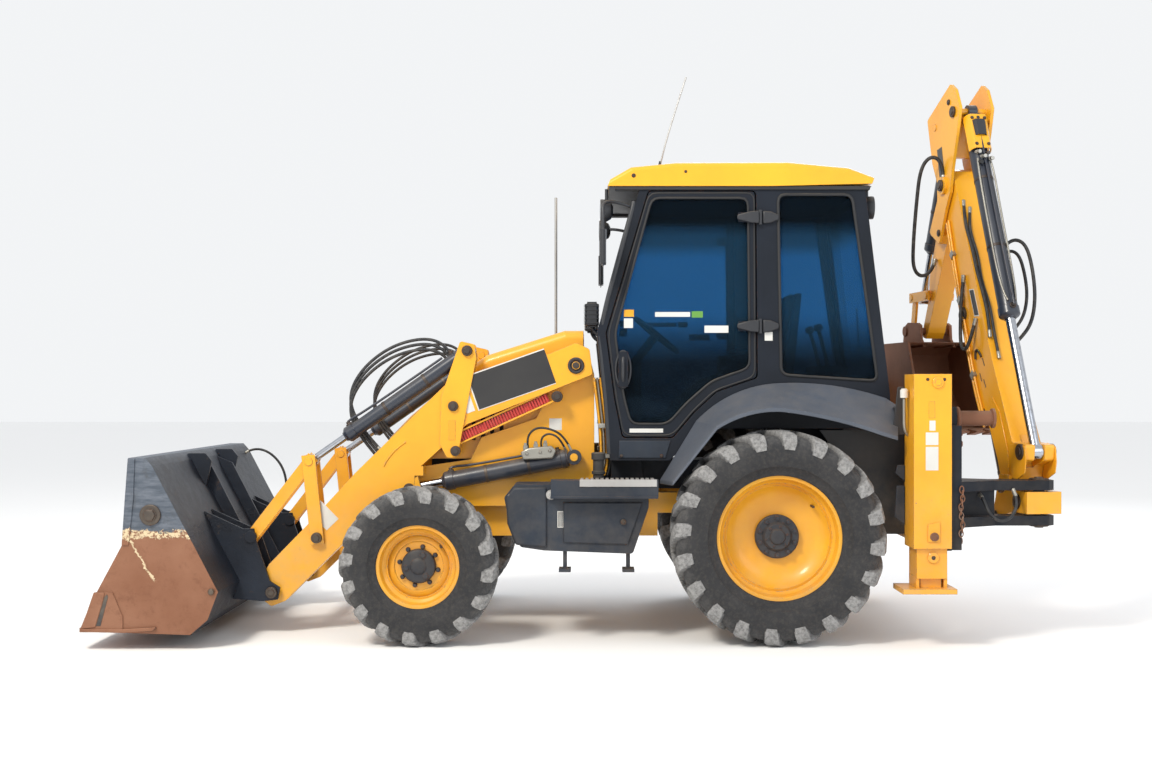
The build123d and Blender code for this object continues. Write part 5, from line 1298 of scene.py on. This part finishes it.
for way, side_name in ((1, "near"), (-1, "far")):
    for pipe in range(2):
        round_bar(f"boom_pipe_{pipe}_{side_name}",
                  [dig(out - 0.03 * pipe, up + 0.012 * pipe, way * 0.106) for out, up in PIPE_RUN], 0.009,
                  "boom",
                  yellow_paint, 8)
    for clamp, (out, up) in enumerate(((1.05, 2.47), (0.93, 2.15), (0.72, 1.64))):
        centre = dig(out - 0.012, up, way * 0.107)
        turned(f"boom_clamp_{clamp}_{side_name}", [(-0.013, 0.0005), (-0.013, 0.034), (0.01, 0.034),
                                                   (0.013, 0.03), (0.013, 0.0005)],
               centre, ASIDE * way, "boom", zinc_steel, 4)
dress_ram("dipper", "dipper_ram_barrel", dig(0.985, 3.44), dig(0.04, 1.16), 1.54, 0.062, -REACH)
dress_ram("boom", "boom_ram_barrel", dig(0.32, 0.74), dig(0.885, 2.05), 0.85, 0.056, REACH)

# ---------------------------------------------------------------- ram guard and fittings
# A bent steel guard covers the ports at the dipper ram's closed end, and the zinc-plated unions below
# it turn the pipes down the tube. Stiffening plates, eyes and blank plates are welded to the boom.
def dig_plate(name, outline, low, high, body, material, soft=0.003):
    """A flat plate in the digger's working plane, between two distances to its side."""
    shape = bmesh.new()
    near = [shape.verts.new(dig(out, up, low)) for out, up in outline]
    far = [shape.verts.new(dig(out, up, high)) for out, up in outline]
    shape.faces.new(near)
    shape.faces.new(far)
    for here in range(len(outline)):
        follow = (here + 1) % len(outline)
        shape.faces.new((near[here], far[here], far[follow], near[follow]))
    made = from_bmesh(name, shape)
    if soft:
        rounded = made.modifiers.new("rounded edge", "BEVEL")
        rounded.width = soft
        rounded.segments = 2
        rounded.limit_method = "ANGLE"
        rounded.angle_limit = math.radians(25)
    return settle(made, body, material, 30)


tube_way = (dig(0.04, 1.16) - dig(0.985, 3.44)).normalized()
tube_out = -REACH - tube_way * (-REACH).dot(tube_way)
tube_out.normalize()


def on_tube(along, stand, aside=0.0):
    """A point along the dipper ram's tube, standing off its near side."""
    return dig(0.985, 3.44) + tube_way * along + tube_out * stand + ASIDE * aside


def bent_cover(name, start, finish, half, stand, body, material):
    """A folded cover over the tube: a flat top and two slanted sides, with thickness."""
    section = [(-half - 0.012, 0.03), (-half, stand - 0.02), (-half + 0.018, stand), (half - 0.018, stand),
               (half, stand - 0.02), (half + 0.012, 0.03), (half + 0.006, 0.03),
               (half - 0.006, stand - 0.022),
               (half - 0.021, stand - 0.006), (-half + 0.021, stand - 0.006), (-half + 0.006, stand - 0.022),
               (-half - 0.006, 0.03)]
    shape = bmesh.new()
    first = [shape.verts.new(on_tube(start, up, aside)) for aside, up in section]
    second = [shape.verts.new(on_tube(finish, up - 0.008, aside * 0.94)) for aside, up in section]
    shape.faces.new(first)
    shape.faces.new(second)
    for here in range(len(section)):
        follow = (here + 1) % len(section)
        shape.faces.new((first[here], second[here], second[follow], first[follow]))
    return settle(from_bmesh(name, shape), body, material, 30)


bent_cover("ram_guard", 0.07, 0.33, 0.072, 0.088, "dipper_ram_barrel", yellow_paint)
bent_cover("ram_guard_box", 0.12, 0.235, 0.046, 0.108, "dipper_ram_barrel", cast_dark)
put_bolts("ram_guard_bolts", "dipper_ram_barrel",
          [on_tube(0.1, 0.088, -0.045), on_tube(0.1, 0.088, 0.045), on_tube(0.3, 0.082, -0.042),
           on_tube(0.3, 0.082, 0.042)], tube_out, 0.018, 0.008)
for union, (along, aside, tall) in enumerate(((0.35, -0.04, 0.05), (0.385, -0.012, 0.06),
                                              (0.36, 0.02, 0.048), (0.4, 0.045, 0.04),
                                              (0.43, -0.035, 0.038))):
    turned(f"ram_union_{union}", [(-0.01, 0.0005), (-0.01, 0.015), (0.01, 0.015), (0.012, 0.011),
                                  (tall - 0.018, 0.011), (tall - 0.016, 0.014), (tall, 0.014),
                                  (tall, 0.0005)],
           on_tube(along, 0.058, aside), tube_way * 0.5 + tube_out, "dipper_ram_barrel",
           (zinc_steel, zinc_steel, pin_steel, zinc_steel, black_rubber)[union], 6)
for pipe, aside in enumerate((-0.052, 0.054)):
    round_bar(f"ram_long_pipe_{pipe}", [on_tube(0.4, 0.056, aside * 0.8), on_tube(0.46, 0.06, aside),
                                        on_tube(0.8, 0.048, aside), on_tube(1.38, 0.046, aside),
                                        on_tube(1.46, 0.066, aside * 0.5)], 0.007, "dipper_ram_barrel",
              zinc_steel,
              8)
for way, side_name in ((-1, "near"), (1, "far")):
    wall = way * 0.095
    dig_plate("boom_sign_" + side_name, [(0.64, 2.03), (0.715, 2.03), (0.8, 2.215), (0.725, 2.215)],
              *sorted((wall, wall + way * 0.0014)), "boom", sign_white, 0)
    dig_plate("boom_sign_face_" + side_name, [(0.648, 2.037), (0.71, 2.037), (0.788, 2.208), (0.73, 2.208)],
              *sorted((wall + way * 0.0014, wall + way * 0.0024)), "boom", sign_black, 0)
    cheek = way * 0.125
    dig_plate("dipper_sign_" + side_name, [(1.18, 3.235), (1.262, 3.225), (1.215, 3.01), (1.133, 3.02)],
              *sorted((cheek, cheek + way * 0.0014)), "dipper", sign_black, 0)
    # doubler plates over the welds of the boom's root, and the hook on its side
    dig_plate("boom_doubler_" + side_name, [(0.195, 0.96), (0.3, 0.96), (0.5, 1.42), (0.44, 1.5),
                                            (0.33, 1.4), (0.215, 1.16)],
              *sorted((wall, wall + way * 0.006)), "boom", yellow_paint, 0.004)
    dig_plate("boom_ear_" + side_name, [(-0.022, 1.195), (-0.034, 1.1), (-0.018, 1.03), (0.075, 0.99),
                                        (0.165, 0.99), (0.15, 1.06), (0.18, 1.2), (0.08, 1.214)],
              *sorted((wall + way * 0.001, wall + way * 0.008)), "boom", yellow_paint, 0.003)
    round_bar("boom_hook_" + side_name,
              [dig(0.6, 1.76, way * 0.1), dig(0.64, 1.81, way * 0.104), dig(0.69, 1.8, way * 0.104),
               dig(0.68, 1.745, way * 0.104)], 0.008, "boom", pin_steel, 8)
    for tread, (out, up) in enumerate(((0.56, 1.7), (0.6, 1.6), (0.54, 1.56))):
        round_bar(f"boom_weld_{tread}_{side_name}",
                  [dig(out, up, way * 0.0955), dig(out + 0.03, up + 0.05, way * 0.0955)], 0.004, "boom",
                  weld_steel, 8)
    pin_head("dipper_keeper_" + side_name, "dipper", dig(1.06, 3.52, way * 0.125), ASIDE * way, 0.02, 0.012)
    pin_head("dipper_keeper_low_" + side_name, "dipper", dig(1.23, 2.64, way * 0.125), ASIDE * way, 0.024,
             0.012)
dress_ram("bucket", "bucket_ram_barrel",
          dig(1.15 - 0.32 * math.sin(math.radians(26)) + 0.323 * math.cos(math.radians(26)),
              2.96 + 0.32 * math.cos(math.radians(26)) + 0.323 * math.sin(math.radians(26))),
          dig(1.15 + 0.95 * math.sin(math.radians(26)) + 0.265 * math.cos(math.radians(26)),
              2.96 - 0.95 * math.cos(math.radians(26)) + 0.265 * math.sin(math.radians(26))),
          0.9, 0.05, REACH)

# ---------------------------------------------------------------- hydraulic hoses
# Two-wire rubber hose with zinc ferrules swaged on at both ends. Some run bare and some in a woven
# sleeve, looped long enough to follow the pin they pass.
hose_rubber = bpy.data.materials.new("hose_rubber")
hose_rubber.use_nodes = True
hose_tree = hose_rubber.node_tree
hose_shader = hose_tree.nodes["Principled BSDF"]
hose_place = wire(hose_tree, "TexCoord").outputs["Object"]
hose_weave = wire(hose_tree, "TexVoronoi", Vector=hose_place, Scale=300.0).outputs["Distance"]
hose_dirt = noise(hose_tree, hose_place, 22.0, 6.0, 0.7)
hose_colour = blend_colours(hose_tree, step_up(hose_tree, hose_dirt, 0.45, 0.8), hue(0.013, 0.014, 0.017),
                            hue(0.085, 0.078, 0.068))
hose_tree.links.new(hose_colour, hose_shader.inputs["Base Color"])
hose_tree.links.new(maths(hose_tree, "ADD", maths(hose_tree, "MULTIPLY", hose_dirt, 0.3), 0.38),
                    hose_shader.inputs["Roughness"])
hose_tree.links.new(wire(hose_tree, "Bump", Height=hose_weave, Distance=0.0012, Strength=0.7).outputs[0],
                    hose_shader.inputs["Normal"])


def hose(name, body, points, thick, tie=None):
    """A hose along its points: one smooth line, with a swaged ferrule at each end."""
    curve = bpy.data.curves.new(name, "CURVE")
    curve.dimensions = "3D"
    curve.bevel_depth = thick / 2
    curve.bevel_resolution = 3
    curve.use_fill_caps = True
    curve.resolution_u = 12
    spline = curve.splines.new("NURBS")
    spline.points.add(len(points) - 1)
    for point, place in zip(spline.points, points):
        point.co = (*place, 1)
    spline.order_u = 3
    spline.use_endpoint_u = True
    made = settle(show(name, curve), body, hose_rubber)
    for end, (tip, inner) in enumerate(((points[0], points[1]), (points[-1], points[-2]))):
        way = (Vector(inner) - Vector(tip)).normalized()
        wide = thick / 2
        turned(f"{name}_ferrule_{end}",
                           [(-0.016, 0.0005), (-0.016, wide * 1.25), (0.0, wide * 1.25), (0.002, wide * 1.12),
                            (0.03, wide * 1.16), (0.034, wide * 1.02), (0.034, wide * 0.9), (0.0, 0.0005)],
                           Vector(tip), way, body, zinc_steel, 18)
    return made


hose("dipper_loop", "dipper",
     [dig(1.14, 3.0, -0.13), dig(1.14, 3.13, -0.14), dig(1.17, 3.17, -0.215), dig(1.2, 3.08, -0.275),
      dig(1.25, 2.86, -0.282), dig(1.31, 2.58, -0.282), dig(1.36, 2.4, -0.265), dig(1.39, 2.34, -0.19),
      dig(1.4, 2.39, -0.105), dig(1.4, 2.46, -0.085)], 0.026)
hose("boom_side_loop", "boom",
     [dig(0.86, 2.3, -0.108), dig(0.855, 2.16, -0.125), dig(0.84, 1.98, -0.14), dig(0.81, 1.84, -0.15),
      dig(0.74, 1.8, -0.15), dig(0.68, 1.87, -0.14), dig(0.665, 2.0, -0.112)], 0.024)
hose("boom_face_hose_left", "boom",
     [dig(0.965, 2.82, -0.062), dig(0.925, 2.755, -0.075), dig(0.862, 2.64, -0.088), dig(0.79, 2.5, -0.078),
      dig(0.7, 2.34, -0.088), dig(0.62, 2.18, -0.078), dig(0.55, 2.03, -0.075), dig(0.515, 1.9, -0.08)],
     0.022)
hose("boom_face_hose_middle", "boom",
     [dig(0.935, 2.77, -0.03), dig(0.895, 2.7, -0.05), dig(0.84, 2.6, -0.068), dig(0.77, 2.44, -0.045),
      dig(0.69, 2.27, -0.06), dig(0.6, 2.1, -0.04), dig(0.51, 1.9, -0.05), dig(0.45, 1.76, -0.048)],
     0.02)
hose("boom_right_loop", "boom",
     [dig(0.82, 2.38, 0.11), dig(0.805, 2.48, 0.13), dig(0.775, 2.56, 0.205), dig(0.72, 2.52, 0.27),
      dig(0.665, 2.36, 0.29), dig(0.61, 2.15, 0.285), dig(0.575, 1.98, 0.24), dig(0.57, 1.88, 0.16),
      dig(0.57, 1.84, 0.112)], 0.024)
hose("boom_right_loop_inner", "boom",
     [dig(0.84, 2.34, 0.11), dig(0.825, 2.42, 0.128), dig(0.79, 2.485, 0.185), dig(0.745, 2.45, 0.235),
      dig(0.69, 2.31, 0.25), dig(0.645, 2.16, 0.245), dig(0.615, 2.03, 0.205), dig(0.61, 1.95, 0.145),
      dig(0.61, 1.92, 0.112)], 0.022)
hose("carriage_loop", "carriage",
     [at(1.24, -0.936, 0.9), at(1.245, -0.985, 0.88), at(1.27, -1.005, 0.8), at(1.33, -1.01, 0.745),
      at(1.4, -1.005, 0.76), at(1.445, -0.99, 0.83), at(1.448, -0.965, 0.895), at(1.44, -0.95, 0.925)],
     0.02)
for side, name in ((-1, "left"), (1, "right")):
    hose("valve_hose_long_" + name, "lift_ram_barrels",
         [at(-1.52, side * 0.59, 1.13), at(-1.545, side * 0.615, 1.225), at(-1.49, side * 0.632, 1.305),
          at(-1.39, side * 0.635, 1.3), at(-1.3, side * 0.628, 1.25), at(-1.262, side * 0.6, 1.172)],
         0.014)
    hose("valve_hose_short_" + name, "lift_ram_barrels",
         [at(-1.44, side * 0.59, 1.15), at(-1.455, side * 0.63, 1.225), at(-1.41, side * 0.648, 1.27),
          at(-1.35, side * 0.65, 1.255), at(-1.31, side * 0.64, 1.205), at(-1.29, side * 0.6, 1.16)],
         0.013)
    for line, drop in enumerate((0.0, 0.034, -0.032)):
        y = side * 0.492
        hose(f"arm_hose_{line}_{name}", "loader_arms",
             [at(-1.985, side * 0.5, 1.58 - drop), at(-2.0, y, 1.72 - drop), at(-2.13, y, 1.85 - drop),
              at(-2.38, y, 1.81 - drop), at(-2.59, y, 1.66 - drop), at(-2.69, y, 1.47 - drop),
              at(-2.62, y, 1.28 - drop), at(-2.47, side * 0.508, 1.12 - drop)], 0.02)
hose("shovel_hose", "loader_bucket",
     [at(-3.722, 1.04, 1.072), at(-3.66, 1.045, 1.11), at(-3.54, 1.05, 1.08), at(-3.44, 1.045, 0.97),
      at(-3.405, 1.035, 0.82), at(-3.43, 1.03, 0.69), at(-3.474, 1.03, 0.63)], 0.018)

# ---------------------------------------------------------------- driver's seat
# The seat has two foam pads in woven charcoal cloth on a moulded plastic pan, with piping sewn round
# each pad. The foam swells between the seams.
seat_cloth = bpy.data.materials.new("seat_cloth")
seat_cloth.use_nodes = True
cloth_tree = seat_cloth.node_tree
cloth = cloth_tree.nodes["Principled BSDF"]
cloth_place = wire(cloth_tree, "TexCoord").outputs["Object"]
warp = wire(cloth_tree, "TexWave", {"wave_type": "BANDS", "bands_direction": "Y"}, Vector=cloth_place,
            Scale=160.0, Distortion=0.4).outputs["Fac"]
weft = wire(cloth_tree, "TexWave", {"wave_type": "BANDS", "bands_direction": "X"}, Vector=cloth_place,
            Scale=160.0, Distortion=0.4).outputs["Fac"]
weave = maths(cloth_tree, "MULTIPLY", warp, weft)
cloth_worn = noise(cloth_tree, cloth_place, 8.0, 6.0)
cloth_colour = blend_colours(cloth_tree, step_up(cloth_tree, cloth_worn, 0.4, 0.7), hue(0.022, 0.023, 0.028),
                             hue(0.055, 0.055, 0.058))
cloth_colour = blend_colours(cloth_tree, maths(cloth_tree, "MULTIPLY", weave, 0.5), cloth_colour,
                             hue(0.1, 0.1, 0.11))
cloth_tree.links.new(cloth_colour, cloth.inputs["Base Color"])
cloth.inputs["Roughness"].default_value = 0.9
cloth.inputs["Sheen Weight"].default_value = 0.4
cloth_tree.links.new(wire(cloth_tree, "Bump", Height=weave, Distance=0.0008, Strength=0.8).outputs[0],
                     cloth.inputs["Normal"])


def evaluated(made):
    """The mesh of an object with its modifiers in effect."""
    return bpy.data.meshes.new_from_object(made.evaluated_get(bpy.context.evaluated_depsgraph_get()))


def foam_pad(name, length, width, thick, place, lean, swell):
    """A foam pad blown up inside its cover, then seamed round its edge."""
    shape = bmesh.new()
    bmesh.ops.create_cube(shape, size=1)
    for vert in shape.verts:
        vert.co = Vector((vert.co.x * length, vert.co.y * width, vert.co.z * thick))
    bmesh.ops.bevel(shape, geom=shape.edges[:], offset=thick * 0.28, segments=3, affect="EDGES")
    pad = from_bmesh(name, shape)
    remesh = pad.modifiers.new("even mesh", "REMESH")
    remesh.mode = "VOXEL"
    remesh.voxel_size = 0.006
    mesh = evaluated(pad)
    pad.modifiers.clear()
    pad.data = mesh
    rest = [vert.co.copy() for vert in mesh.vertices]
    foam = pad.modifiers.new("foam", "CLOTH")
    foam.settings.use_pressure = True
    foam.settings.uniform_pressure_force = 4.0
    foam.settings.quality = 4
    foam.settings.effector_weights.gravity = 0.0
    foam.point_cache.frame_start = 1
    foam.point_cache.frame_end = 20
    for frame_number in range(1, 21):
        bpy.context.scene.frame_set(frame_number)
    blown = evaluated(pad)
    pad.modifiers.clear()
    bpy.context.scene.frame_set(1)
    for vert, before, after in zip(mesh.vertices, rest, blown.vertices):
        move = after.co - before
        if move.length > swell:
            move = move.normalized() * swell
        vert.co = before + move
    # two sewn channels run along the pad
    for vert in mesh.vertices:
        for channel in (-width * 0.22, width * 0.22):
            near = max(0.0, 1.0 - abs(vert.co.y - channel) / 0.014)
            if vert.co.z > 0 and abs(vert.co.x) < length * 0.44:
                vert.co.z -= 0.007 * near * near
    turn = Matrix.Translation(place) @ Matrix.Rotation(lean, 4, "Y")
    mesh.transform(turn)
    smoother = pad.modifiers.new("smooth cover", "SUBSURF")
    smoother.levels = 1
    smoother.render_levels = 1
    pad.data = evaluated(pad)
    pad.modifiers.clear()
    settle(pad, "chassis", seat_cloth, 60)
    corners = [turn @ Vector((sx * length * 0.5, sy * width * 0.5, 0)) for sx, sy in
               ((-1, -1), (1, -1), (1, 1), (-1, 1))]
    piping = bpy.data.curves.new(name + "_piping", "CURVE")
    piping.dimensions = "3D"
    piping.bevel_depth = 0.004
    spline = piping.splines.new("POLY")
    loop = rounded_loop(corners, 0.05)
    spline.points.add(len(loop) - 1)
    for point, spot in zip(spline.points, loop):
        point.co = (*spot, 1)
    spline.use_cyclic_u = True
    settle(show(name + "_piping", piping), "chassis", black_rubber)
    return pad


cushion = foam_pad("seat_cushion", 0.4, 0.44, 0.09, at(-0.095, 0, 1.583), math.radians(2), 0.01)
foam_pad("seat_backrest", 0.56, 0.43, 0.085, at(0.148, 0, 1.9), math.radians(-80), 0.01)
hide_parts("seat")
pan = [back(p) for p in ((-0.3, 1.502), (-0.318, 1.53), (0.085, 1.532), (0.12, 1.56), (0.215, 2.18),
                         (0.262, 2.18), (0.19, 1.502))]
plate("seat_pan", pan, -0.225, 0.225, "chassis", black_plastic, 0.012)
for side, name in ((-1, "left"), (1, "right")):
    round_bar("seat_arm_" + name, [at(0.12, side * 0.236, 1.8), at(0.0, side * 0.238, 1.81),
                                   at(-0.18, side * 0.238, 1.8)], 0.022, "chassis", black_plastic)
